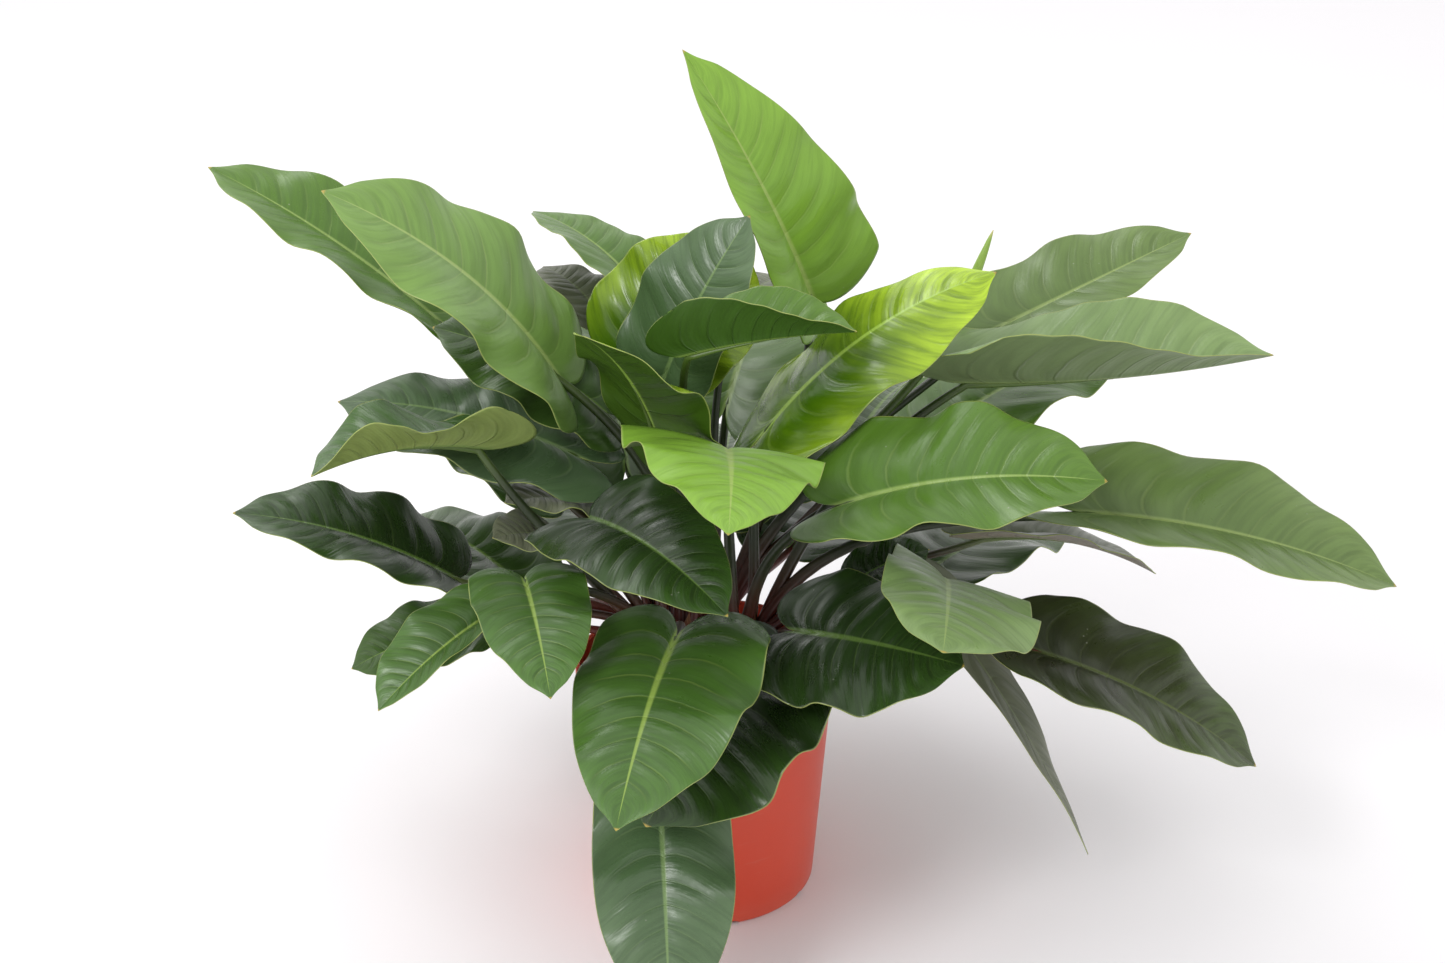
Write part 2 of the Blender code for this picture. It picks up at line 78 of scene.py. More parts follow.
camera = bpy.data.objects.new("camera", bpy.data.cameras.new("camera"))
camera.location = CAMERA_PLACE
camera.rotation_euler = (math.radians(90.0 - CAMERA_TILT), 0.0, 0.0)
camera.data.lens = CAMERA_LENS
camera.data.sensor_width = 36.0
bpy.context.scene.collection.objects.link(camera)
bpy.context.scene.camera = camera
print("camera at", CAMERA_PLACE, "tilted down", CAMERA_TILT, "degrees")

# %% [markdown]
# ## Studio light
# A white room all round fills the shadows. A soft box behind the plant, on the left, gives the leathery leaves
# their pale sheen and throws the pot's soft shadow to the front. A smaller lamp high on the left of the camera
# lifts what faces the viewer.

# %% Studio light
ROOM_LIGHT = 0.99
LAMP_AIM = (0.0, 0.0, 0.35)
LAMPS = {
    "soft_box": ((-1.1, 1.8, 3.0), 1.6, 26.0),
    "front_lamp": ((-1.3, -2.1, 2.5), 0.9, 36.0),
}

room = bpy.data.worlds.new("white_room")
room.use_nodes = True
room.node_tree.nodes["Background"].inputs["Color"].default_value = (1.0, 0.995, 1.0, 1.0)
room.node_tree.nodes["Background"].inputs["Strength"].default_value = ROOM_LIGHT
bpy.context.scene.world = room
bpy.context.scene.view_settings.view_transform = "Standard"

for name, (place, size, power) in LAMPS.items():
    lamp = bpy.data.objects.new(name, bpy.data.lights.new(name, "AREA"))
    lamp.data.size = size
    lamp.data.energy = power
    lamp.location = place
    lamp.rotation_euler = (Vector(LAMP_AIM) - Vector(place)).to_track_quat("-Z", "Y").to_euler()
    bpy.context.scene.collection.objects.link(lamp)
print("room", ROOM_LIGHT, "lamps", sorted(LAMPS))

# %% [markdown]
# ## Writing a finish as sums
# A material is a graph of nodes, and long graphs are hard to read. The class Signal wraps one socket that
# carries a number over the surface, so that `1 - vein * 0.5` adds the Math nodes by itself. The class Finish
# holds one material, and its `add` makes any other node from its type, its settings and its sockets.

# %% A number that changes over a surface
class Signal:
    def __init__(self, finish, socket):
        self.finish = finish
        self.socket = socket

    def math(self, operation, first, second=0.0):
        return self.finish.add("ShaderNodeMath", {"operation": operation}, {0: first, 1: second})

    def __add__(self, other):
        return self.math("ADD", self, other)

    def __sub__(self, other):
        return self.math("SUBTRACT", self, other)

    def __rsub__(self, other):
        return self.math("SUBTRACT", other, self)

    def __mul__(self, other):
        return self.math("MULTIPLY", self, other)

    def __truediv__(self, other):
        return self.math("DIVIDE", self, other)

    __radd__ = __add__
    __rmul__ = __mul__

    def apply(self, operation, other=0.0):
        """One of the Math node's other operations, such as ABSOLUTE or MINIMUM."""
        return self.math(operation, self, other)

    def rise(self, start, end):
        """0 below start, 1 above end, and a smooth step between them."""
        sockets = {"Value": self, "From Min": start, "From Max": end}
        return self.finish.add("ShaderNodeMapRange", {"interpolation_type": "SMOOTHSTEP"}, sockets)


# %% One material
class Finish:
    def __init__(self, name, roughness, specular=0.5):
        self.material = bpy.data.materials.new(name)
        self.material.use_nodes = True
        self.tree = self.material.node_tree
        self.shader = self.tree.nodes["Principled BSDF"]
        self.shader.inputs["Roughness"].default_value = roughness
        self.shader.inputs["Specular IOR Level"].default_value = specular

    def feed(self, socket, value):
        if isinstance(value, Signal):
            self.tree.links.new(value.socket, socket)
        else:
            socket.default_value = value

    def add(self, kind, settings, sockets, output=0):
        """A node of one type, with its settings, and with numbers or signals on its sockets."""
        node = self.tree.nodes.new(kind)
        for setting, value in settings.items():
            setattr(node, setting, value)
        for socket, value in sockets.items():
            self.feed(node.inputs[socket], value)
        return Signal(self, node.outputs[output])

    def blend(self, share, first, second):
        """A colour that goes from the first to the second as share goes from 0 to 1."""
        ends = [(*end, 1.0) if isinstance(end, tuple) else end for end in (first, second)]
        return self.add("ShaderNodeMix", {"data_type": "RGBA"}, {0: share, 6: ends[0], 7: ends[1]}, 2)

    def place(self):
        """The place on the object, in metres."""
        return self.add("ShaderNodeTexCoord", {}, {}, 3)

    def map_share(self, name, axis):
        """One of the two shares that a piece's own map holds."""
        return self.part_of(self.add("ShaderNodeUVMap", {"uv_map": name}, {}), axis)

    def part_of(self, spot, axis):
        return self.add("ShaderNodeSeparateXYZ", {}, {0: spot}, axis)

    def stretched(self, spot, scale):
        """A place whose axes are scaled apart, for streaks and fibres."""
        return self.add("ShaderNodeVectorMath", {"operation": "MULTIPLY"}, {0: spot, 1: scale})

    def grain(self, spot, scale, detail=3.0):
        """Cloudy noise between 0 and 1."""
        return self.add("ShaderNodeTexNoise", {}, {"Vector": spot, "Scale": scale, "Detail": detail})

    def colour(self, value):
        self.feed(self.shader.inputs["Base Color"], value)

    def roughness(self, value):
        self.feed(self.shader.inputs["Roughness"], value)

    def relief(self, height, depth, strength=1.0):
        """Fine relief: a Bump node that feeds the shader's Normal."""
        sockets = {"Height": height, "Distance": depth, "Strength": strength}
        self.feed(self.shader.inputs["Normal"], self.add("ShaderNodeBump", {}, sockets))


print("finish helpers ready")

# %% [markdown]
# ## The veins of a blade
# A philodendron leaf has one stout pale midrib. Side veins leave it in pairs and sweep towards the tip as
# they near the margin, and the blade puffs up softly between them. The same rule is needed twice, for the
# shape and for the colour, so it is settled once: a count that is whole on each side vein.

# %% Where the side veins run
SIDE_VEINS = 10.0
VEIN_SWEEP = 0.11
VEIN_CURVE = 0.05
VEIN_SPREAD = 0.45
VEIN_STRAY = 0.16
MAP = "blade_map"


def vein_count(across, along):
    """Whole on each side vein. across is 0 at the midrib and 1 at the margin, along is 1 at the tip."""
    sweep = VEIN_SWEEP * across + VEIN_CURVE * across ** 2
    return SIDE_VEINS * (along - sweep * min(1.0, along / VEIN_SPREAD))


def vein_count_nodes(across, along):
    """The same count, as nodes."""
    sweep = across * VEIN_SWEEP + across * across * VEIN_CURVE
    return (along - sweep * (along / VEIN_SPREAD).apply("MINIMUM", 1.0)) * SIDE_VEINS


print("side veins a half:", SIDE_VEINS)

# %% [markdown]
# ## Leaf finishes
# Young leaves are lime and glossy, grown ones are mid green and satin, and old ones are deep green. Some tones
# hold painted light: the dark tone is a shaded copy of the deep green, and two grey tones carry painted sheen.
# The upper face carries soft pale veins, with faint stripes and darker streaks drawn out along them, painted
# shade in the furrows along the side veins, fresher green towards margin and tip, and a few specks of dust.
# The underside is duller, with darker veins. The thin edge itself is creamy, which draws the outline of the leaf.

# %% Leaf tones
class Tone(NamedTuple):
    """Colours are linear. blade is the green between the veins, fresh is the green near margin and tip."""
    slot: str
    blade: tuple
    fresh: tuple
    vein: tuple
    underside: tuple
    roughness: float


TONES = {
    "lime": Tone("leaf_lime", (0.05, 0.13, 0.002), (0.56, 0.80, 0.04), (0.34, 0.52, 0.08), (0.05, 0.11, 0.008), 0.25),
    "fresh": Tone("leaf_mid", (0.20, 0.38, 0.038), (0.24, 0.44, 0.045), (0.33, 0.45, 0.11), (0.12, 0.17, 0.06), 0.40),
    "sage": Tone("leaf_mid", (0.15, 0.27, 0.055), (0.19, 0.33, 0.065), (0.32, 0.43, 0.13), (0.14, 0.18, 0.09), 0.40),
    "mid": Tone("leaf_mid", (0.072, 0.165, 0.014), (0.11, 0.22, 0.022), (0.26, 0.38, 0.09), (0.04, 0.10, 0.010), 0.37),
    "grown": Tone("leaf_deep", (0.044, 0.105, 0.015), (0.085, 0.19, 0.03), (0.26, 0.38, 0.07), (0.05, 0.09, 0.02), 0.36),
    "olive": Tone("leaf_mid", (0.11, 0.18, 0.045), (0.17, 0.26, 0.07), (0.25, 0.34, 0.10), (0.14, 0.18, 0.09), 0.38),
    "pale": Tone("leaf_mid", (0.17, 0.265, 0.09), (0.23, 0.34, 0.12), (0.30, 0.40, 0.14), (0.20, 0.28, 0.12), 0.38),
    "folded": Tone("leaf_mid", (0.035, 0.09, 0.014), (0.06, 0.14, 0.02), (0.15, 0.24, 0.06), (0.25, 0.33, 0.09), 0.30),
    # Painted sheen: this grey-green stands for the pale sheen on these glossy dark leaves.
    "painted_sheen": Tone("leaf_deep", (0.062, 0.118, 0.045), (0.12, 0.19, 0.09), (0.18, 0.28, 0.10), (0.06, 0.09, 0.03), 0.32),
    "deep": Tone("leaf_deep", (0.030, 0.072, 0.010), (0.055, 0.12, 0.015), (0.14, 0.24, 0.04), (0.045, 0.08, 0.02), 0.34),
    # Painted shade: a darker copy of the deep tone, for leaves that lie in the plant's shade.
    "dark": Tone("leaf_deep", (0.011, 0.026, 0.005), (0.036, 0.090, 0.012), (0.09, 0.16, 0.03), (0.03, 0.05, 0.015), 0.33),
    "bronze": Tone("leaf_deep", (0.026, 0.032, 0.010), (0.08, 0.13, 0.03), (0.09, 0.12, 0.03), (0.05, 0.05, 0.025), 0.36),
    # Partly painted sheen: the grey is partly the leaves' paler underside and partly sheen painted into the colour.
    "dusky": Tone("leaf_dusky", (0.10, 0.12, 0.065), (0.20, 0.21, 0.14), (0.16, 0.20, 0.09), (0.18, 0.17, 0.12), 0.42),
}
CREAM = (0.42, 0.47, 0.14)
TIP_GOLD = (0.45, 0.33, 0.06)
DUST = (0.42, 0.42, 0.36)
LEAF_RELIEF = 0.22 * MM
RIB_FOOT_SHARE = 0.04
RIB_TIP_SHARE = 0.01
STRIPES_A_VEIN = 6.0
STREAKS_A_VEIN = 4.0
STREAK_BREAKS = 1.5


def darker(colour, share):
    return tuple(share * part for part in colour)


# %% The masks that both faces share
class BladeMasks:
    """Signals from the blade's map: x is the share across it, y the share along it."""

    def __init__(self, finish):
        side = finish.map_share(MAP, 0)
        self.along = finish.map_share(MAP, 1)
        self.across = (side * 2.0 - 1.0).apply("ABSOLUTE")
        stray = finish.grain(finish.place(), 35.0) * VEIN_STRAY
        self.count = vein_count_nodes(self.across, self.along) + stray
        off_vein = ((self.count + (0.5 - VEIN_STRAY / 2)).apply("FRACT") - 0.5).apply("ABSOLUTE") * 2.0
        reach = 1.0 - self.across.rise(0.45, 0.95)
        inside = (1.0 - self.along.rise(0.80, 0.93)) * self.along.rise(0.02, 0.07)
        self.side_vein = (1.0 - off_vein.rise(0.02, 0.12)) * reach * inside
        self.furrow = (1.0 - off_vein.rise(0.0, 0.6)) * reach * inside
        rib_width = (1.0 - self.along) * (RIB_FOOT_SHARE - RIB_TIP_SHARE) + RIB_TIP_SHARE
        self.rib = 1.0 - (self.across / rib_width).rise(0.6, 1.7)
        self.margin = self.across.rise(0.985, 0.997)
        self.tip = self.along.rise(0.985, 0.995)
        self.stripes = (self.count * STRIPES_A_VEIN).apply("PINGPONG", 0.5) * 2.0 * (1.0 - self.across * 0.5)
        sockets = {0: self.count * STREAKS_A_VEIN, 1: self.across * STREAK_BREAKS}
        drawn_out = finish.add("ShaderNodeCombineXYZ", {}, sockets)
        self.streaks = finish.grain(drawn_out, 1.0, 5.0).rise(0.38, 0.68)

    def outline(self, finish, green):
        """Creamy at the margin and gold at the tip."""
        green = finish.blend(self.margin * 0.5, green, CREAM)
        return finish.blend(self.tip, green, TIP_GOLD)


# %% Upper face
def make_upper_finish(name, tone):
    finish = Finish(f"upper_{name}", tone.roughness)
    masks = BladeMasks(finish)
    spot = finish.place()
    clouds = finish.grain(spot, 14.0).rise(0.35, 0.7)
    fine = finish.grain(spot, 160.0)
    outward = masks.across.rise(0.3, 1.0) * 0.3 + masks.along.rise(0.3, 0.95) * 0.7
    green = finish.blend(outward * 0.75 + clouds * 0.25, tone.blade, tone.fresh)
    # Painted shade: the blade darkens in the furrows along the side veins. The fine stripes and the streaks darken it
    # too.
    shade = masks.stripes * 0.10 + masks.furrow * 0.30 + masks.streaks * 0.42
    green = finish.blend(shade, green, darker(tone.blade, 0.72))
    green = finish.blend(masks.side_vein * (clouds * 0.15 + 0.12), green, tone.vein)
    green = finish.blend(masks.rib * 0.85, green, tone.vein)
    green = masks.outline(finish, green)
    specks = finish.add("ShaderNodeTexVoronoi", {}, {"Vector": spot, "Scale": 95.0})
    dust = (1.0 - specks.rise(0.04, 0.10)) * finish.grain(spot, 22.0).rise(0.58, 0.66)
    finish.colour(finish.blend(dust * 0.4, green, DUST))
    finish.roughness(fine * 0.08 + masks.streaks * 0.10 + clouds * 0.10 + (tone.roughness - 0.14))
    relief = masks.stripes * 0.2 + fine * 0.3 + masks.streaks * 0.7 - masks.side_vein - masks.furrow * 1.6
    finish.relief(relief, LEAF_RELIEF)
    return finish.material


# %% Underside and edge
def make_underside_finish(name, tone):
    finish = Finish(f"underside_{name}", tone.roughness + 0.1, 0.4)
    masks = BladeMasks(finish)
    spot = finish.place()
    clouds = finish.grain(spot, 18.0)
    dark = darker(tone.underside, 0.6)
    green = finish.blend(clouds * 0.3 + masks.streaks * 0.35, tone.underside, dark)
    green = finish.blend(masks.side_vein * 0.45, green, dark)
    green = finish.blend(masks.rib * 0.7, green, tone.vein)
    finish.colour(masks.outline(finish, green))
    finish.relief(masks.stripes * 0.5 + finish.grain(spot, 200.0) + masks.side_vein * 2.0, LEAF_RELIEF)
    return finish.material


def make_edge_finish():
    finish = Finish("leaf_edge", 0.45)
    finish.colour(finish.blend(finish.grain(finish.place(), 60.0), CREAM, (0.20, 0.28, 0.06)))
    return finish.material


edge_finish = make_edge_finish()
blade_finishes = {}
for name, tone in TONES.items():
    blade_finishes[name] = [make_upper_finish(name, tone), make_underside_finish(name, tone), edge_finish]
print("leaf finishes:", sorted(blade_finishes))

# %% [markdown]
# ## The leaves
# Every leaf is one line of this list: where its stalk meets it, where its tip is, how wide it is, and how it
# rolls, folds and waves. The list is the one that the solids were made from, so each fine blade lies where its
# solid is.

# %% The list of leaves
class Leaf(NamedTuple):
    """Centimetres and degrees. Fold lifts the left and the right half from the midrib, and opens is the share
    of the fold that is gone at the tip. Arch bows the midrib, and twist turns the blade along it. Cup lets the
    margins hang, and wave is the height of their waves. Lobe is the reach of the basal lobes. A low taper
    narrows the blade early, and a high one keeps it broad until near its tip. Halves sets the share of each
    half that shows, and bend moves the middle of the stalk."""
    name: str
    tone: str
    heart: tuple
    tip: tuple
    width: float
    roll: float = 0.0
    fold: tuple = (14, 14)
    opens: float = 0.3
    arch: float = 0.08
    twist: float = 0.0
    cup: float = 0.15
    wave: float = 0.10
    waves: float = 2.5
    phase: float = 0.0
    lobe: float = 0.2
    taper: float = 3.0
    halves: tuple = (1, 1)
    bend: tuple = (0, 0, 0)


LEAVES = [
    Leaf("leaf_01", "mid", (-25, 12, 53), (-47, 18, 66.5), 14, roll=-20, fold=(45, 8), arch=0.05, waves=3),
    Leaf("leaf_02", "sage", (-13.5, 2, 52), (-33, -2, 71), 17, roll=-30, fold=(24, 8), arch=0.10, lobe=0.12,
         bend=(4, 0, 1.5)),
    Leaf("leaf_03", "deep", (-10, 5, 47.5), (-25, 5, 55.5), 13, roll=-20, bend=(2, 0, 1.5)),
    Leaf("leaf_04", "mid", (-5.5, 14, 54.5), (-17, 24, 60), 12, roll=15, fold=(20, 20), wave=0.04),
    Leaf("leaf_05", "lime", (-6, 6, 52.5), (4, 9, 61.5), 15, roll=50),
    Leaf("leaf_06", "painted_sheen", (-4, 2, 51), (4, 3, 67), 12, roll=50, fold=(8, 30), bend=(2, -1, 0)),
    Leaf("leaf_07", "mid", (-1.5, -7.5, 58), (13, -9.5, 61), 11, fold=(38, 75), arch=0.03, wave=0.2,
         waves=0.6, phase=-0.5, bend=(3, 4, 1.5)),
    Leaf("leaf_08", "lime", (-4, -3, 46.5), (-10, -13, 62), 15, fold=(5, 25), halves=(1, 0.8)),
    Leaf("leaf_09", "fresh", (10, 13.5, 55), (-2, 8.5, 80.5), 17, roll=-85, fold=(50, 5), waves=3, lobe=0.08,
         taper=1.5, halves=(0.75, 1.05), bend=(1, -1, 0)),
    Leaf("leaf_10", "lime", (5.5, 0, 47.5), (26.5, 6, 60.5), 14, roll=15, fold=(-20, 10), arch=0.11, twist=15,
         lobe=0.25),
    Leaf("leaf_11", "olive", (28, 18, 50), (48, 26, 57), 13, roll=25, fold=(5, 30), arch=0, halves=(1, 0.7)),
    Leaf("leaf_12", "pale", (24, 4, 50.5), (51.5, 2, 54), 18, fold=(28, 45), opens=0, arch=-0.03, wave=0.25,
         waves=0.5, phase=-0.65),
    Leaf("leaf_13", "mid", (12.5, -10, 45), (34.5, -14, 49), 17, roll=22, fold=(14, 30), bend=(-1, 0, 1.5)),
    Leaf("leaf_14", "olive", (35, -2, 40), (63, -6, 34.5), 16, roll=30, fold=(12, 50), taper=2.6,
         bend=(0, 1, 1.5)),
    Leaf("leaf_15", "dusky", (26, 2, 35.5), (43, 4, 30.5), 11, fold=(5, 40), wave=0.05),
    Leaf("leaf_16", "bronze", (30, -8, 29), (50.5, -12, 19), 14, roll=22, fold=(14, 30), lobe=0.16, taper=2.6,
         halves=(1, 0.88), bend=(0, -2, 1.5)),
    Leaf("leaf_17", "dusky", (21, -2.5, 31.5), (37, -5, 4.5), 8, roll=50, twist=-60, lobe=0.12, taper=1.3,
         halves=(0.8, 0.5)),
    Leaf("leaf_18", "pale", (21.5, -9, 37), (19.6, -28, 40.2), 15.5, roll=-10, fold=(0, 30), opens=0.8,
         lobe=0.06, taper=4.5, halves=(1, 0.75), bend=(0, 0, -1.5)),
    Leaf("leaf_19", "dark", (8, -16, 35.5), (22, -23, 36), 16, roll=25, fold=(0, 14), arch=0.04,
         bend=(2, 0, 0)),
    Leaf("leaf_20", "dark", (-10, -11, 44), (2, -27, 43), 14.5, roll=8, fold=(26, 14), wave=0.06, lobe=0.08,
         taper=2.2, halves=(0.9, 1)),
    Leaf("leaf_21", "grown", (-2.5, -18, 36), (-7, -38, 29.5), 16.5, taper=2.4, halves=(1.1, 0.84)),
    Leaf("leaf_22", "dark", (6, -14, 31), (-5, -27, 22.5), 17, taper=4.5, halves=(1.12, 1)),
    Leaf("leaf_23", "painted_sheen", (-4, -20, 21.5), (-3, -33, 6.5), 12.5),
    Leaf("leaf_24", "dark", (-23, -6, 35.5), (-42, -8, 43), 12, roll=-20, fold=(30, 8), waves=3, lobe=0.08,
         halves=(0.85, 1.05), bend=(0, 2, 0)),
    Leaf("leaf_25", "dusky", (-18.5, -4, 32), (-23, -8, 32), 5),
    Leaf("leaf_26", "grown", (-15.5, -16.5, 40.8), (-12.5, -30, 37), 10.5, lobe=0.15, taper=2.2),
    Leaf("leaf_27", "grown", (-19, -14, 36), (-28, -22, 31), 8.5, roll=-20, fold=(45, 14), halves=(0.6, 1)),
    Leaf("leaf_28", "deep", (-22, -4, 29.3), (-32.5, -8, 27), 8, roll=-20),
    Leaf("leaf_29", "folded", (-20, -6, 48.5), (-34, -12, 48.5), 14, fold=(58, 20), wave=0.2, waves=1.3,
         phase=1.85, lobe=0.28, taper=4.5, halves=(1, 0.88), bend=(-2, -4, 0)),
    Leaf("leaf_30", "painted_sheen", (-12, 1, 44.5), (-34, 4, 48.5), 14, roll=-15, fold=(10, 0), bend=(1, 0, 0)),
    Leaf("leaf_31", "dusky", (-10, -1, 40), (-18, -6, 43), 8),
    Leaf("leaf_32", "dusky", (-14, -3, 38), (-19, -8, 40.5), 6, roll=-20),
    Leaf("leaf_33", "fresh", (2, -10.5, 50.5), (2, -28, 51), 18, roll=-12, fold=(8, 8), lobe=0.12, taper=1.3,
         halves=(1, 1.12)),
    Leaf("leaf_34", "dark", (14, -4.5, 34.5), (20.5, -3.5, 37), 6, roll=20),
    Leaf("leaf_35", "dusky", (2.5, 14, 53.5), (8, 24, 53), 10),
    Leaf("leaf_36", "dusky", (-10, 14, 53), (-16, 22, 55), 7),
    Leaf("leaf_37", "deep", (-8, 14, 38), (-12, 42, 42), 15),
    Leaf("leaf_38", "mid", (2, 16, 43), (8, 45, 44), 16),
    Leaf("leaf_39", "deep", (13, 16, 35), (22, 40, 35), 15),
    Leaf("leaf_40", "deep", (-15, 12, 36), (-29, 28, 37), 14),
    Leaf("leaf_41", "mid", (22, 13, 41), (42, 28, 43), 15),
    Leaf("leaf_42", "deep", (-8, 16, 28), (-15, 37, 22), 14),
    Leaf("leaf_43", "deep", (9, 16, 28), (18, 38, 21), 14),
    Leaf("leaf_44", "deep", (1, 20, 30), (3, 46, 27), 15),
    Leaf("leaf_45", "deep", (-19, 8, 28), (-33, 24, 26), 12),
    Leaf("leaf_46", "deep", (22, 8, 29), (36, 26, 23), 13),
]
print("leaves:", len(LEAVES))

# %% [markdown]
# ## The shape of a blade
# A blade is a flat grid that a formula lays out along its midrib. Rows across the grid follow the midrib's
# frame, the halves fold up from it, and the margins hang and wave. On top of that come three forms that the
# solids are too coarse for: the quilting between side veins, the groove over the midrib and a finer ruffle.

# %% Along the midrib
def bow(share):
    """0 at both ends and 1 in the middle."""
    return 4.0 * share * (1.0 - share)


def ease(value, start, end):
    """0 below start, 1 above end, and a smooth step between them."""
    share = max(0.0, min(1.0, (value - start) / (end - start)))
    return share * share * (3.0 - 2.0 * share)


def midrib_frame(leaf, v):
    """A point of the midrib at a share v of its length, and the directions along, out of and across it."""
    heart = Vector(leaf.heart) * CM
    chord = Vector(leaf.tip) * CM - heart
    along = chord.normalized()
    up = Vector((0.0, 0.0, 1.0))
    face = Matrix.Rotation(math.radians(leaf.roll), 3, along) @ (up - along * up.dot(along)).normalized()
    rise = face * leaf.arch * chord.length
    point = heart + chord * v + rise * bow(v)
    heading = (chord + rise * (4.0 - 8.0 * v)).normalized()
    turned = Matrix.Rotation(math.radians(leaf.twist) * v, 3, along) @ face
    normal = (turned - heading * turned.dot(heading)).normalized()
    return point, heading, normal, heading.cross(normal)


POINT_TAPER = 0.45


def half_width(leaf, v):
    """Broad from the base to past the middle, and then rounded into a short drawn-out point."""
    width = 0.5 * leaf.width * CM * (1.0 - v ** leaf.taper) ** 0.85 * (0.95 + 0.3 * v)
    return width * (1.0 - POINT_TAPER * ease(v, 0.9, 1.0))


# %% Across the blade
QUILT_HEIGHT = 1.8 * MM
GROOVE_DEPTH = 1.2 * MM
GROOVE_WIDTH = 4.5 * MM
RUFFLE_HEIGHT = 0.012
RUFFLES = 6.3
WAVE_LAG = 1.7
RUFFLE_LAG = 2.2
QUILTED_WIDTH = 15.0


def blade_point(leaf, rib, u, v):
    """A point of the blade: u runs across it from -1 to 1, and v along the midrib from the heart to the tip.
    The waves of the right half lag behind those of the left one, so that the two don't mirror each other."""
    point, heading, normal, side = rib
    length = (Vector(leaf.tip) - Vector(leaf.heart)).length * CM
    across = abs(u)
    half = 1 if u > 0 else 0
    out = side if half else -side
    reach = half_width(leaf, v) * leaf.halves[half]
    fold = math.radians(leaf.fold[half]) * (1.0 - leaf.opens * v)
    lobe = leaf.lobe * length * math.sin(math.pi * across ** 0.8) ** 0.7 * (1.0 - v) ** 5
    ripple = math.sin(math.tau * leaf.waves * v + leaf.phase + WAVE_LAG * half)
    ripple *= min(1.0, 6.0 * v + 0.3) * min(1.0, 4.0 * (1.0 - v))
    lift = across * math.sin(fold) + across ** 2 * (leaf.wave * ripple - leaf.cup)
    ruffle = math.sin(math.tau * RUFFLES * v + leaf.width + leaf.heart[0] + RUFFLE_LAG * half)
    lift += RUFFLE_HEIGHT * ruffle * across ** 3 * bow(v)
    quilt = -0.5 * math.cos(math.tau * vein_count(across, v)) * QUILT_HEIGHT * leaf.width / QUILTED_WIDTH
    quilt *= ease(across, 0.03, 0.25) * (1.0 - ease(across, 0.5, 0.95))
    quilt *= ease(v, 0.0, 0.08) * (1.0 - ease(v, 0.78, 0.97))
    groove = GROOVE_DEPTH * (1.0 - v) * math.exp(-((across * reach / GROOVE_WIDTH) ** 2))
    skin = normal * math.cos(fold) - out * math.sin(fold)
    place = point + (out * across * math.cos(fold) + normal * lift) * reach - heading * lobe
    return place + skin * (quilt - groove)


print("blade formula ready")

# %% [markdown]
# ## From formula to mesh
# The grid's rows crowd together near the midrib, the margins, the heart and the tip, where the form turns
# fastest. A Solidify modifier thickens the sheet. Its vertex group makes the midrib stout and the margin
# thin, and its material offsets give underside and edge their own finishes.

# %% Make one blade
CELLS_ACROSS = 32
CELLS_ALONG = 56
RIB_THICKNESS = 2.6 * MM
BLADE_SHARE = 0.36
EDGE_SHARE = 0.26
RIB_REACH = 3.0 * MM


def crowd(share, pull):
    """Move even steps towards both ends of 0..1."""
    return share + (0.5 - 0.5 * math.cos(math.pi * share) - share) * pull


def stoutness(leaf, u, v):
    """The blade's thickness as a share of the midrib's."""
    span = abs(u) * half_width(leaf, v)
    rib = math.exp(-((span / RIB_REACH) ** 2)) * (1.0 - v) ** 0.7
    thin = BLADE_SHARE + (EDGE_SHARE - BLADE_SHARE) * abs(u)
    return thin + (1.0 - thin) * rib * min(1.0, leaf.width / QUILTED_WIDTH)


def make_piece(name, shape, finishes=(), collection=None):
    """An object from a mesh under construction, with its finishes."""
    mesh = bpy.data.meshes.new(name)
    shape.to_mesh(mesh)
    shape.free()
    for finish in finishes:
        mesh.materials.append(finish)
    piece = bpy.data.objects.new(name, mesh)
    home = bpy.context.scene.collection if collection is None else collection
    home.objects.link(piece)
    return piece


def thicken(piece, thickness):
    """Give a sheet its thickness, half of it on either side."""
    sheet = piece.modifiers.new("Thickness", "SOLIDIFY")
    sheet.thickness = thickness
    sheet.offset = 0.0
    return sheet


def make_fine_blade(leaf):
    shape = bmesh.new()
    spots = shape.loops.layers.uv.new(MAP)
    bmesh.ops.create_grid(shape, x_segments=CELLS_ACROSS, y_segments=CELLS_ALONG, size=1.0)
    shares = {}
    ribs = {}
    for vert in shape.verts:
        u = math.copysign(crowd(abs(vert.co.x), 0.7), vert.co.x)
        row = round(vert.co.y, 5)
        v = crowd((vert.co.y + 1.0) / 2.0, 0.5)
        shares[vert.index] = (u, min(1.0, max(0.0, v)))
        ribs[row] = ribs.get(row) or midrib_frame(leaf, v)
        vert.co = blade_point(leaf, ribs[row], *shares[vert.index])
    for face in shape.faces:
        face.smooth = True
        for loop in face.loops:
            u, v = shares[loop.vert.index]
            loop[spots].uv = (0.5 + 0.5 * u, v)
    blade = make_piece("fine_" + leaf.name, shape, blade_finishes[leaf.tone])
    group = blade.vertex_groups.new(name="stoutness")
    for index, (u, v) in shares.items():
        group.add([index], stoutness(leaf, u, v), "REPLACE")
    weld = blade.modifiers.new("Close the tip", "WELD")
    weld.merge_threshold = 0.05 * MM
    sheet = thicken(blade, RIB_THICKNESS)
    sheet.vertex_group = "stoutness"
    sheet.material_offset = 1
    sheet.material_offset_rim = 2
    return blade


def keep_shape(piece):
    """Keep the shape that the modifiers make as the piece's own mesh."""
    graph = bpy.context.evaluated_depsgraph_get()
    mesh = bpy.data.meshes.new_from_object(piece.evaluated_get(graph))
    piece.modifiers.clear()
    piece.data = mesh
    return piece


def dress(piece, slot, *nodes):
    """The piece rides on the plant and stands for the solids."""
    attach(piece, "root")
    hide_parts(*nodes)
    return piece


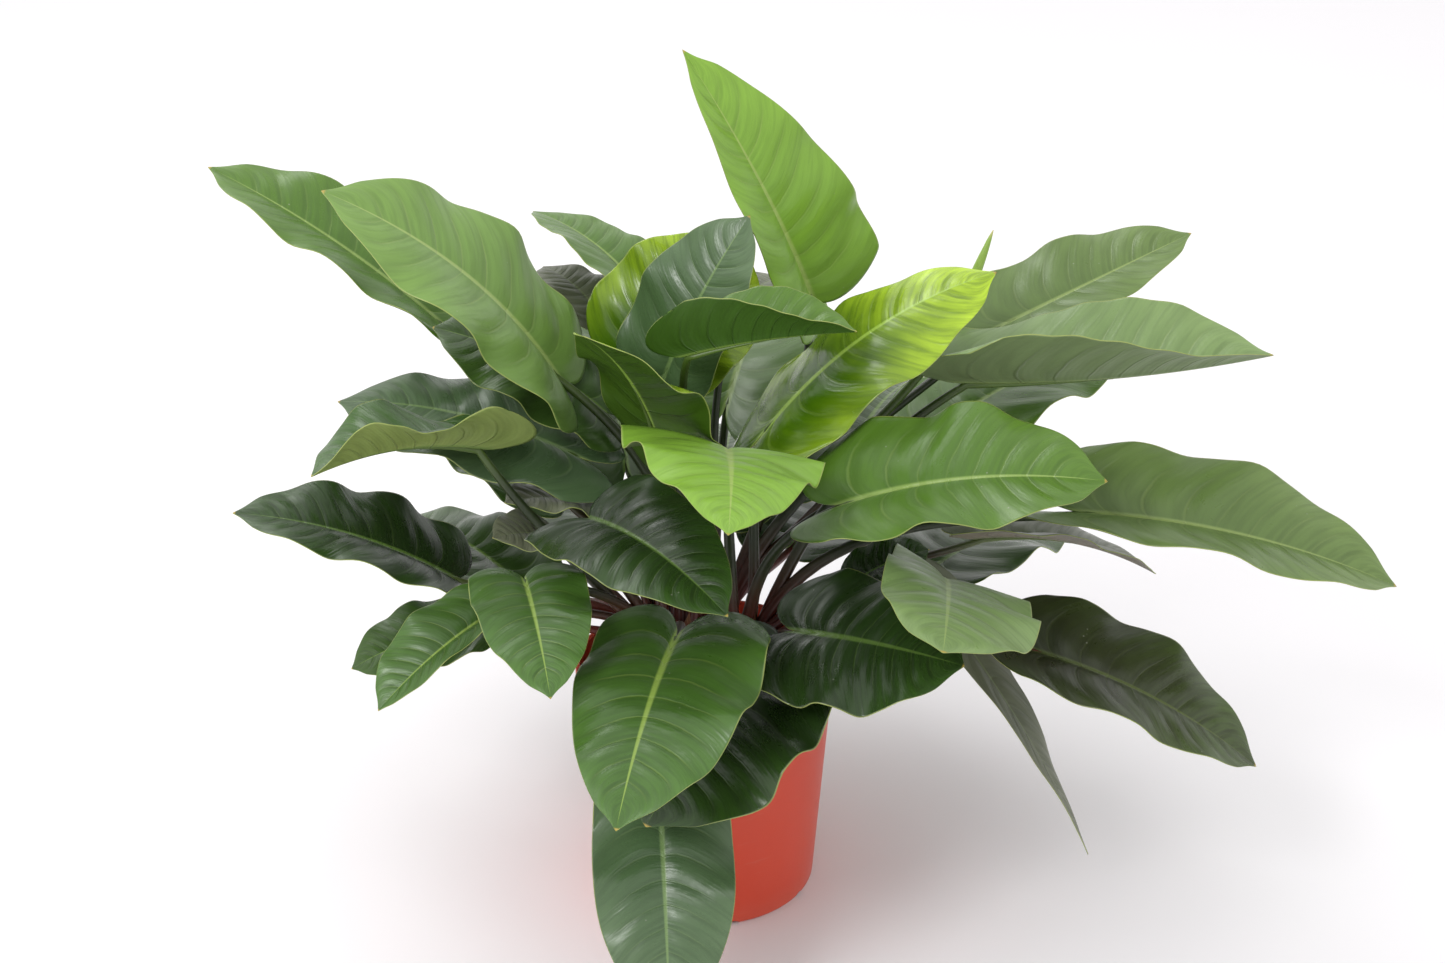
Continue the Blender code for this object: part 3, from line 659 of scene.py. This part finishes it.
for leaf in LEAVES:
    blade = keep_shape(make_fine_blade(leaf))
    dress(blade, TONES[leaf.tone].slot, leaf.name)
print("fine blades:", len(LEAVES), "faces in the last:", len(blade.data.polygons))

# %% [markdown]
# ## Stalks
# A stalk is a tapered tube along a smooth curve from its crown to the heart of its leaf, and it runs on under
# the blade as the raised midrib. It is built ring by ring, and each ring is turned as little as possible from
# the one before, so that the tube doesn't twist.

# %% A tube of rings
STALK_MAP = "stalk_map"


def add_tube(shape, path, radii, sides, finish_index=0):
    """Add a closed tube to a mesh under construction. Its map holds the shares round it and along it."""
    spots = shape.loops.layers.uv.get(STALK_MAP) or shape.loops.layers.uv.new(STALK_MAP)
    neighbours = zip([path[0], *path], [*path[1:], path[-1]])
    headings = [(after - before).normalized() for before, after in neighbours]
    across = headings[0].orthogonal().normalized()
    rings = []
    for place, heading, radius in zip(path, headings, radii):
        across = (across - heading * across.dot(heading)).normalized()
        third = heading.cross(across)
        ring = []
        for step in range(sides):
            turn = math.tau * step / sides
            ring.append(shape.verts.new(place + (across * math.cos(turn) + third * math.sin(turn)) * radius))
        rings.append(ring)
    last = len(rings) - 1
    for level in range(last):
        for step in range(sides):
            following = (step + 1) % sides
            corners = (rings[level][step], rings[level][following], rings[level + 1][following],
                       rings[level + 1][step])
            face = shape.faces.new(corners)
            face.smooth = True
            face.material_index = finish_index
            shares = ((step, level), (step + 1, level), (step + 1, level + 1), (step, level + 1))
            for loop, (turn, rise) in zip(face.loops, shares):
                loop[spots].uv = (turn / sides, rise / last)
    for ring in (rings[0][::-1], rings[-1]):
        cap = shape.faces.new(ring)
        cap.material_index = finish_index
    return rings


# %% The path of a stalk
CROWN_TOP = 0.25
CROWN_RADIUS = 0.018
CROWNS = ((-2.6, -1.4), (2.8, -1.6), (0.4, 2.8))
STALK_FOOT_RADIUS = 0.0064
STALK_NECK_RADIUS = 0.0038
STALK_STEPS = 22
STALK_SIDES = 12
TIERS = 4
TIER_STEP = 0.006
RIB_RUN = (0.04, 0.09, 0.16, 0.25, 0.36, 0.48)
RIB_END_RADIUS = 0.0006
SHEATH_SWELL = 0.45
SHEATH_REACH = 0.07
FOOT_OFFSET = 0.35
FOOT_LEAN = 0.12
FOOT_RISE = 0.4
ARRIVAL = 0.35


def stalk_path(heart, heading, normal, neck, tier, bend):
    """From the nearest crown up and over to the heart of a leaf, as a cubic curve."""
    crowns = [Vector((x * CM, y * CM, CROWN_TOP - TIER_STEP * (2 + tier))) for x, y in CROWNS]
    crown = min(crowns, key=lambda place: (heart - place).xy.length)
    outward = Vector((*(heart - crown).xy.normalized(), 0.0))
    foot = crown + outward * CROWN_RADIUS * FOOT_OFFSET
    reach = (heart - foot).length
    arrive = ((heart - foot) / reach * 0.7 + heading * 0.5).normalized()
    end = heart - normal * neck * 0.75
    rise = Vector((outward.x * FOOT_LEAN, outward.y * FOOT_LEAN, FOOT_RISE)) * reach
    controls = (foot, foot + rise, end - arrive * reach * ARRIVAL, end)
    points = []
    for step in range(STALK_STEPS + 1):
        t = step / STALK_STEPS
        weights = ((1 - t) ** 3, 3 * (1 - t) ** 2 * t, 3 * (1 - t) * t ** 2, t ** 3)
        place = Vector(bend) * CM * bow(t)
        for weight, control in zip(weights, controls):
            place += weight * control
        points.append(place)
    return points


def stalk_radii(neck, foot):
    """Widest in the sheath at the foot, and slimmest at the neck."""
    shares = [step / STALK_STEPS for step in range(STALK_STEPS + 1)]
    return [(foot + (neck - foot) * t) * (1.0 + SHEATH_SWELL * math.exp(-t / SHEATH_REACH)) for t in shares]


def add_leaf_stalk(shape, leaf, tier):
    heart, heading, normal, _ = midrib_frame(leaf, 0.0)
    stout = 0.5 + 0.5 * min(1.0, leaf.width / QUILTED_WIDTH)
    neck = STALK_NECK_RADIUS * stout
    path = stalk_path(heart, heading, normal, neck, tier, leaf.bend)
    radii = stalk_radii(neck, STALK_FOOT_RADIUS * stout)
    for share in RIB_RUN:
        point, _, normal, _ = midrib_frame(leaf, share)
        radius = neck + (RIB_END_RADIUS - neck) * (share / RIB_RUN[-1]) ** 0.6
        path.append(point - normal * (radius * 0.6 + GROOVE_DEPTH * (1.0 - share)))
        radii.append(radius)
    add_tube(shape, path, radii, STALK_SIDES)


# %% [markdown]
# ## Stalk finish
# A stalk is dark green and satin, paler where it reaches the blade and maroon where it leaves the crown. Height
# tells the foot from the rest, and the map's share along the stalk tells the neck.

# %% Stalk finish
def make_stalk_finish():
    finish = Finish("stalk", 0.36)
    along = finish.map_share(STALK_MAP, 1)
    spot = finish.place()
    streaks = finish.grain(finish.stretched(spot, (400.0, 400.0, 30.0)), 1.0)
    green = finish.blend(streaks, (0.010, 0.018, 0.004), (0.022, 0.034, 0.009))
    green = finish.blend(along.rise(0.62, 0.86) * 0.75, green, (0.10, 0.17, 0.03))
    maroon = finish.blend(streaks, (0.13, 0.012, 0.010), (0.05, 0.014, 0.008))
    foot = 1.0 - finish.part_of(spot, 2).rise(0.27, 0.37)
    finish.colour(finish.blend(foot, green, maroon))
    finish.relief(streaks, 0.3 * MM)
    return finish.material


def make_crown_finish():
    finish = Finish("crown_bark", 0.7)
    spot = finish.place()
    rings = finish.add("ShaderNodeTexWave", {"bands_direction": "Z"},
                       {"Vector": spot, "Scale": 38.0, "Distortion": 3.0, "Detail": 3.0})
    patches = finish.grain(spot, 90.0)
    bark = finish.blend(patches, (0.060, 0.045, 0.020), (0.10, 0.075, 0.035))
    finish.colour(finish.blend(rings * 0.6, bark, (0.028, 0.018, 0.010)))
    finish.relief(rings + patches, 1.2 * MM)
    return finish.material


stalk_finish = make_stalk_finish()
crown_finish = make_crown_finish()

# %% Build stalks and crowns
ROOTSTOCK_FOOT = 0.122
ROOTSTOCK_HEIGHT = 0.100
ROOTSTOCK_RADIUS = 0.034
ROOTSTOCK_LEVELS = (0.0, 0.12, 0.3, 0.5, 0.7, 0.88, 1.0)
ROOTSTOCK_SIDES = 32
CROWN_FOOT = 0.19
CROWN_SIDES = 24
CROWN_SCARS = 14
STEPS_A_SCAR = 3
SCAR_HEIGHT = 0.05


def add_crown(shape, x, y):
    """A short stem with the ring-shaped scars of the leaves that it has shed."""
    foot = Vector((x * CM * 0.5, y * CM * 0.5, CROWN_FOOT))
    top = Vector((x * CM, y * CM, CROWN_TOP + CROWN_RADIUS / 2))
    steps = CROWN_SCARS * STEPS_A_SCAR
    path = []
    radii = []
    for step in range(steps + 1):
        t = step / steps
        path.append(foot.lerp(top, t))
        girth = CROWN_RADIUS * (0.85 + 0.15 * bow(t)) * (1.0 - 0.5 * ease(t, 0.72, 1.0))
        radii.append(girth * (1.0 + SCAR_HEIGHT * math.cos(math.tau * step / STEPS_A_SCAR)))
    add_tube(shape, path, radii, CROWN_SIDES, 1)


def add_rootstock(shape):
    """The stout stub in the soil that the crowns grow from."""
    path = [Vector((0.0, 0.0, ROOTSTOCK_FOOT + ROOTSTOCK_HEIGHT * level)) for level in ROOTSTOCK_LEVELS]
    radii = [ROOTSTOCK_RADIUS * (0.6 + 0.4 * bow(level) ** 0.4) for level in ROOTSTOCK_LEVELS]
    add_tube(shape, path, radii, ROOTSTOCK_SIDES, 1)


def make_stalks():
    shape = bmesh.new()
    for index, leaf in enumerate(LEAVES):
        add_leaf_stalk(shape, leaf, index % TIERS)
    for x, y in CROWNS:
        add_crown(shape, x, y)
    add_rootstock(shape)
    add_tube(shape, *spear_stalk(), STALK_SIDES)
    stalks = make_piece("stalks", shape, (stalk_finish, crown_finish))
    return dress(stalks, "petiole_green", "stems")


# %% [markdown]
# ## The newest leaf
# The newest leaf is still rolled into a slim spear. One tube gives it its form, and a step in its radius that
# winds up round it is the free margin of the rolled blade.

# %% The rolled spear
SPEAR_FOOT = (23.5, 13.5, 52.0)
SPEAR_TIP = (27.0, 14.5, 61.5)
SPEAR_RADIUS = 0.0075
SPEAR_RINGS = 40
SPEAR_SIDES = 36
SPEAR_STEP = 0.16
SPEAR_TURNS = 0.7


def spear_stalk():
    foot = Vector(SPEAR_FOOT) * CM
    heading = (Vector(SPEAR_TIP) * CM - foot).normalized()
    path = stalk_path(foot, heading, heading, 0.0, 0, (0, 0, 0))
    return path, stalk_radii(STALK_NECK_RADIUS, STALK_FOOT_RADIUS)


def make_spear():
    shape = bmesh.new()
    foot = Vector(SPEAR_FOOT) * CM
    tip = Vector(SPEAR_TIP) * CM
    shares = [ring / SPEAR_RINGS for ring in range(SPEAR_RINGS + 1)]
    path = [foot.lerp(tip, share) for share in shares]
    radii = [SPEAR_RADIUS * (0.5 + 1.6 * share) * (1.0 - share) ** 0.9 + 0.0004 for share in shares]
    rings = add_tube(shape, path, radii, SPEAR_SIDES)
    for share, centre, ring in zip(shares, path, rings):
        for step, vert in enumerate(ring):
            turn = (step / SPEAR_SIDES + SPEAR_TURNS * share) % 1.0
            vert.co = centre + (vert.co - centre) * (1.0 - SPEAR_STEP * turn)
    spear = make_piece("rolled_spear", shape, [make_spear_finish()])
    return dress(spear, "leaf_lime", "spear")


def make_spear_finish():
    finish = Finish("spear_lime", 0.34)
    along = finish.map_share(STALK_MAP, 1)
    clouds = finish.grain(finish.place(), 40.0)
    green = finish.blend(clouds, (0.26, 0.42, 0.06), (0.36, 0.52, 0.12))
    finish.colour(finish.blend(along.rise(0.9, 1.0), green, (0.55, 0.50, 0.20)))
    finish.relief(clouds, 0.3 * MM)
    return finish.material


stalks = make_stalks()
spear = make_spear()
print("stalk faces:", len(stalks.data.polygons), "spear faces:", len(spear.data.polygons))

# %% [markdown]
# ## Dried sheaths
# Each new leaf leaves behind the papery sheath that once wrapped it. It dries brown and stands between the
# stalks: a narrow pointed sheet, rolled into a channel. It is a small grid bent round an axis and thickened.

# %% Dried sheaths
SHEATHS = ((0, -70, 31.0), (1, 30, 34.0), (2, 80, 32.0))
SHEATH_RADIUS = 0.0085
SHEATH_LEAN = 0.018
SHEATH_WRAP = 210.0
SHEATH_BEND = 0.012
SHEATH_CRINKLE = 0.12
SHEATH_THICKNESS = 0.6 * MM


def make_sheath(index, crown, turn, height, finish):
    x, y = CROWNS[crown]
    foot = Vector((x * CM, y * CM, CROWN_TOP - 0.012))
    lean = Vector((math.cos(math.radians(turn)), math.sin(math.radians(turn)), 0.0))
    top = foot + lean * SHEATH_LEAN
    top.z = height * CM
    shape = bmesh.new()
    bmesh.ops.create_grid(shape, x_segments=14, y_segments=20, size=1.0)
    for vert in shape.verts:
        u, t = vert.co.x, (vert.co.y + 1.0) / 2.0
        wrap = math.radians(SHEATH_WRAP) / 2 * u * (1.0 - t ** 2.2) + math.radians(turn)
        radius = SHEATH_RADIUS * (1.0 + 0.5 * (1.0 - t)) * (1.0 - 0.75 * t ** 2)
        crinkle = 1.0 + SHEATH_CRINKLE * math.sin(9.0 * u + 5.0 * t + index)
        around = Vector((math.cos(wrap), math.sin(wrap), 0.0))
        vert.co = foot.lerp(top, t) + lean * SHEATH_BEND * t * t + around * radius * crinkle
    bmesh.ops.remove_doubles(shape, verts=shape.verts, dist=0.02 * MM)
    for face in shape.faces:
        face.smooth = True
    sheath = make_piece(f"dried_sheath_{index}", shape, [finish])
    thicken(sheath, SHEATH_THICKNESS)
    return dress(keep_shape(sheath), "petiole_green", "stems")


def make_sheath_finish():
    finish = Finish("dried_sheath", 0.62)
    spot = finish.place()
    fibres = finish.grain(finish.stretched(spot, (500.0, 500.0, 40.0)), 1.0)
    brown = finish.blend(fibres, (0.10, 0.045, 0.018), (0.26, 0.14, 0.055))
    finish.colour(finish.blend(finish.grain(spot, 60.0).rise(0.5, 0.7) * 0.6, brown, (0.16, 0.03, 0.02)))
    finish.relief(fibres, 0.5 * MM)
    return finish.material


sheath_finish = make_sheath_finish()
for index, (crown, turn, height) in enumerate(SHEATHS):
    make_sheath(index, crown, turn, height, sheath_finish)
print("dried sheaths:", len(SHEATHS))

# %% [markdown]
# ## The nursery pot
# The pot is blown from thin terracotta-red plastic. It is a turned shape: a profile of its wall, rim band and
# floor, swept round the axis by a Screw modifier. Drain holes and foot notches are cut by one Boolean modifier.

# %% Pot sizes
POT_HEIGHT = 0.233
POT_FOOT_RADIUS = 0.105
POT_RIM_RADIUS = 0.122
POT_SLOPE = (POT_RIM_RADIUS - POT_FOOT_RADIUS) / POT_HEIGHT
POT_WALL = 0.0018
POT_FLOOR = 0.0025
POT_FOOT_ROUND = 0.004
RIM_BAND_HEIGHT = 0.014
RIM_BAND_REACH = 0.0028
RIM_LIP = 0.0012
POT_STEPS = 144
DRAIN_HOLES = 8
DRAIN_HOLE_RADIUS = 0.0055
DRAIN_RING_RADIUS = 0.062
FOOT_NOTCHES = 8
FOOT_NOTCH_TURN = 0.32
FOOT_NOTCH_WIDTH = 0.012
FOOT_NOTCH_HEIGHT = 0.004
CUTTER_DEPTH = 0.016
CUTTER_SIDES = 24


# %% Turn a profile
def turned_piece(name, profile, steps):
    """Turn a profile of (radius, height) points about Z."""
    shape = bmesh.new()
    verts = [shape.verts.new((radius, 0.0, height)) for radius, height in profile]
    for first, second in zip(verts, verts[1:]):
        shape.edges.new((first, second))
    piece = make_piece(name, shape)
    screw = piece.modifiers.new("Turn", "SCREW")
    screw.axis = "Z"
    screw.steps = steps
    screw.render_steps = steps
    screw.use_merge_vertices = True
    screw.merge_threshold = 0.01 * MM
    return piece


def arc(centre, radius, start, end, steps=5):
    """Points of a round corner, from one angle to another, in degrees."""
    angles = [math.radians(start + (end - start) * step / steps) for step in range(steps + 1)]
    return [(centre[0] + radius * math.cos(angle), centre[1] + radius * math.sin(angle)) for angle in angles]


def pot_profile():
    """From the middle of the floor up the inside, over the rim and down the outside."""
    band_foot = POT_HEIGHT - RIM_BAND_HEIGHT
    band_radius = POT_RIM_RADIUS + RIM_BAND_REACH
    inner_rim = POT_RIM_RADIUS - POT_WALL
    inner_foot = POT_FOOT_RADIUS - POT_WALL
    outer = POT_FOOT_RADIUS - POT_FOOT_ROUND
    lip = POT_HEIGHT - RIM_LIP
    return [
        (0.0, POT_FLOOR),
        *arc((inner_foot - POT_FOOT_ROUND, POT_FLOOR + POT_FOOT_ROUND), POT_FOOT_ROUND, -90, 0),
        *arc((inner_rim + RIM_LIP, lip), RIM_LIP, 180, 90),
        *arc((band_radius - RIM_LIP, lip), RIM_LIP, 90, 0),
        *arc((band_radius - RIM_LIP / 2, band_foot + RIM_LIP / 2), RIM_LIP / 2, 0, -90, 3),
        (POT_FOOT_RADIUS + POT_SLOPE * band_foot, band_foot - RIM_LIP),
        *arc((outer, POT_FOOT_ROUND), POT_FOOT_ROUND, 0, -90),
        (0.0, 0.0),
    ]


# %% Cut the drain holes and notches
def make_cutter(radius, place, turn, collection):
    """A short round bar at a place, turned from the upright."""
    shape = bmesh.new()
    bmesh.ops.create_cone(
        shape, cap_ends=True, segments=CUTTER_SIDES, radius1=radius, radius2=radius, depth=CUTTER_DEPTH)
    cutter = make_piece("cutter", shape, (), collection)
    cutter.matrix_world = Matrix.Translation(place) @ turn


def make_pot(finish):
    pot = turned_piece("plastic_pot", pot_profile(), POT_STEPS)
    cutters = bpy.data.collections.new("cutters")
    bpy.context.scene.collection.children.link(cutters)
    for index in range(DRAIN_HOLES):
        turn = Matrix.Rotation(math.tau * index / DRAIN_HOLES, 4, "Z")
        make_cutter(DRAIN_HOLE_RADIUS, turn @ Vector((DRAIN_RING_RADIUS, 0, 0)), Matrix.Identity(4), cutters)
    squat = Matrix.Diagonal((FOOT_NOTCH_HEIGHT / (FOOT_NOTCH_WIDTH / 2), 1.0, 1.0, 1.0))
    for index in range(FOOT_NOTCHES):
        turn = Matrix.Rotation(math.tau * (index + FOOT_NOTCH_TURN) / FOOT_NOTCHES, 4, "Z")
        lying = turn @ Matrix.Rotation(math.radians(90), 4, "Y") @ squat
        make_cutter(FOOT_NOTCH_WIDTH / 2, turn @ Vector((POT_FOOT_RADIUS, 0, 0)), lying, cutters)
    cut = pot.modifiers.new("Holes and notches", "BOOLEAN")
    cut.operation = "DIFFERENCE"
    cut.operand_type = "COLLECTION"
    cut.collection = cutters
    keep_shape(pot)
    for cutter in list(cutters.objects):
        bpy.data.objects.remove(cutter, do_unlink=True)
    bpy.data.collections.remove(cutters)
    pot.data.materials.clear()
    pot.data.materials.append(finish)
    pot.data.shade_smooth()
    pot.data.set_sharp_from_angle(angle=math.radians(40))
    return dress(pot, "pot_plastic", "pot")


# %% Pot finish
def make_pot_finish():
    finish = Finish("red_plastic", 0.40)
    spot = finish.place()
    clouds = finish.grain(spot, 9.0)
    fine = finish.grain(spot, 700.0)
    red = finish.blend(clouds, (0.60, 0.052, 0.020), (0.66, 0.064, 0.026))
    scuffs = finish.grain(finish.stretched(spot, (25.0, 25.0, 160.0)), 1.0, 6.0).rise(0.62, 0.75)
    foot = 1.0 - finish.part_of(spot, 2).rise(0.0, 0.03)
    finish.colour(finish.blend(scuffs * 0.18 + foot * 0.15, red, (0.62, 0.22, 0.15)))
    finish.roughness(scuffs * 0.12 + fine * 0.06 + 0.36)
    finish.relief(fine + clouds, 0.15 * MM)
    return finish.material


pot = make_pot(make_pot_finish())
print("pot faces:", len(pot.data.polygons))

# %% [markdown]
# ## Potting mix
# The mix is dark peat with bark and a few white grains of perlite. The bed is a turned disc whose top is
# roughened by noise, and chips of bark and perlite are scattered on it by a seeded draw, each sunk halfway in.

# %% Soil finishes
def make_soil_finish(name, dark, light, roughness):
    finish = Finish(name, roughness, 0.3)
    spot = finish.place()
    crumbs = finish.grain(spot, 420.0, 6.0)
    finish.colour(finish.blend(crumbs.rise(0.35, 0.7), dark, light))
    finish.relief(crumbs + finish.grain(spot, 120.0), 2.0 * MM)
    return finish.material


# %% Soil bed and chips
SOIL_TOP = 0.206
SOIL_CROWN = 0.004
SOIL_LUMPS = ((2.5 * MM, 60.0), (1.4 * MM, 210.0), (0.8 * MM, 620.0))
SOIL_GAP = 0.0003
SOIL_CHAMFER = 0.006
SOIL_RINGS = 44
SOIL_STEPS = 120
PEAT, BARK, PERLITE = range(3)
BARK_SHARE = 0.9
CHIPS = 900
CHIP_SIZE = 3.2 * MM
CHIP_BORDER = 0.004
CHIP_RISE = 0.1


def soil_height(x, y):
    spot = Vector((x, y, 0.0))
    edge = POT_FOOT_RADIUS - POT_WALL + POT_SLOPE * SOIL_TOP
    crown = SOIL_CROWN * math.cos(min(1.0, math.hypot(x, y) / edge) * math.pi / 2)
    return SOIL_TOP + crown + sum(height * noise.noise(spot * scale) for height, scale in SOIL_LUMPS)


def make_soil(finishes):
    inner_foot = POT_FOOT_RADIUS - POT_WALL - SOIL_GAP
    edge = inner_foot + POT_SLOPE * (SOIL_TOP + 0.002) - 0.0004
    foot = POT_FLOOR + SOIL_GAP
    profile = [(edge * ring / SOIL_RINGS, SOIL_TOP) for ring in range(SOIL_RINGS + 1)]
    chamfer_top = (inner_foot + POT_SLOPE * SOIL_CHAMFER, foot + SOIL_CHAMFER)
    profile += [chamfer_top, (inner_foot - SOIL_CHAMFER, foot), (0.0, foot)]
    soil = keep_shape(turned_piece("potting_soil", profile, SOIL_STEPS))
    shape = bmesh.new()
    shape.from_mesh(soil.data)
    for vert in shape.verts:
        if vert.co.z > SOIL_TOP - SOIL_GAP:
            vert.co.z = soil_height(vert.co.x, vert.co.y)
    for face in shape.faces:
        face.smooth = True
    draw = random.Random(11)
    for _ in range(CHIPS):
        radius = (edge - CHIP_BORDER) * math.sqrt(draw.random())
        turn = draw.uniform(0.0, math.tau)
        x, y = radius * math.cos(turn), radius * math.sin(turn)
        size = CHIP_SIZE * draw.uniform(0.35, 1.3)
        spin = (Matrix.Rotation(draw.uniform(0, math.tau), 4, "Z")
                @ Matrix.Rotation(draw.uniform(-0.6, 0.6), 4, "X"))
        flat = Matrix.Diagonal((1.0, draw.uniform(0.4, 0.9), draw.uniform(0.25, 0.6), 1.0))
        kind = BARK if draw.random() < BARK_SHARE else PERLITE
        if kind == PERLITE:
            flat = Matrix.Diagonal((0.5, 0.5, 0.45, 1.0))
        place = Matrix.Translation((x, y, soil_height(x, y) + size * CHIP_RISE))
        grown = bmesh.ops.create_icosphere(shape, subdivisions=1, radius=size, matrix=place @ spin @ flat)
        for face in {face for vert in grown["verts"] for face in vert.link_faces}:
            face.material_index = kind
    shape.to_mesh(soil.data)
    shape.free()
    soil.data.materials.clear()
    for finish in finishes:
        soil.data.materials.append(finish)
    return dress(soil, "potting_mix", "soil")


soil = make_soil([
    make_soil_finish("peat", (0.012, 0.008, 0.005), (0.060, 0.036, 0.020), 0.9),
    make_soil_finish("bark_chip", (0.045, 0.024, 0.012), (0.14, 0.080, 0.042), 0.8),
    make_soil_finish("perlite", (0.50, 0.48, 0.44), (0.70, 0.68, 0.64), 0.8),
])
print("soil faces:", len(soil.data.polygons))

# %% [markdown]
# ## The floor
# The plant stands on seamless white paper. It isn't part of the plant.

# %% The floor
FLOOR_SIZE = 16.0


def make_floor():
    shape = bmesh.new()
    bmesh.ops.create_grid(shape, x_segments=1, y_segments=1, size=FLOOR_SIZE / 2)
    finish = Finish("white_paper", 0.75, 0.2)
    shade = finish.grain(finish.place(), 1.2)
    finish.colour(finish.blend(shade, (0.90, 0.885, 0.90), (0.93, 0.915, 0.93)))
    floor = make_piece("paper_floor", shape, [finish.material])
    return floor


floor = make_floor()
print("floor", FLOOR_SIZE, "m wide")
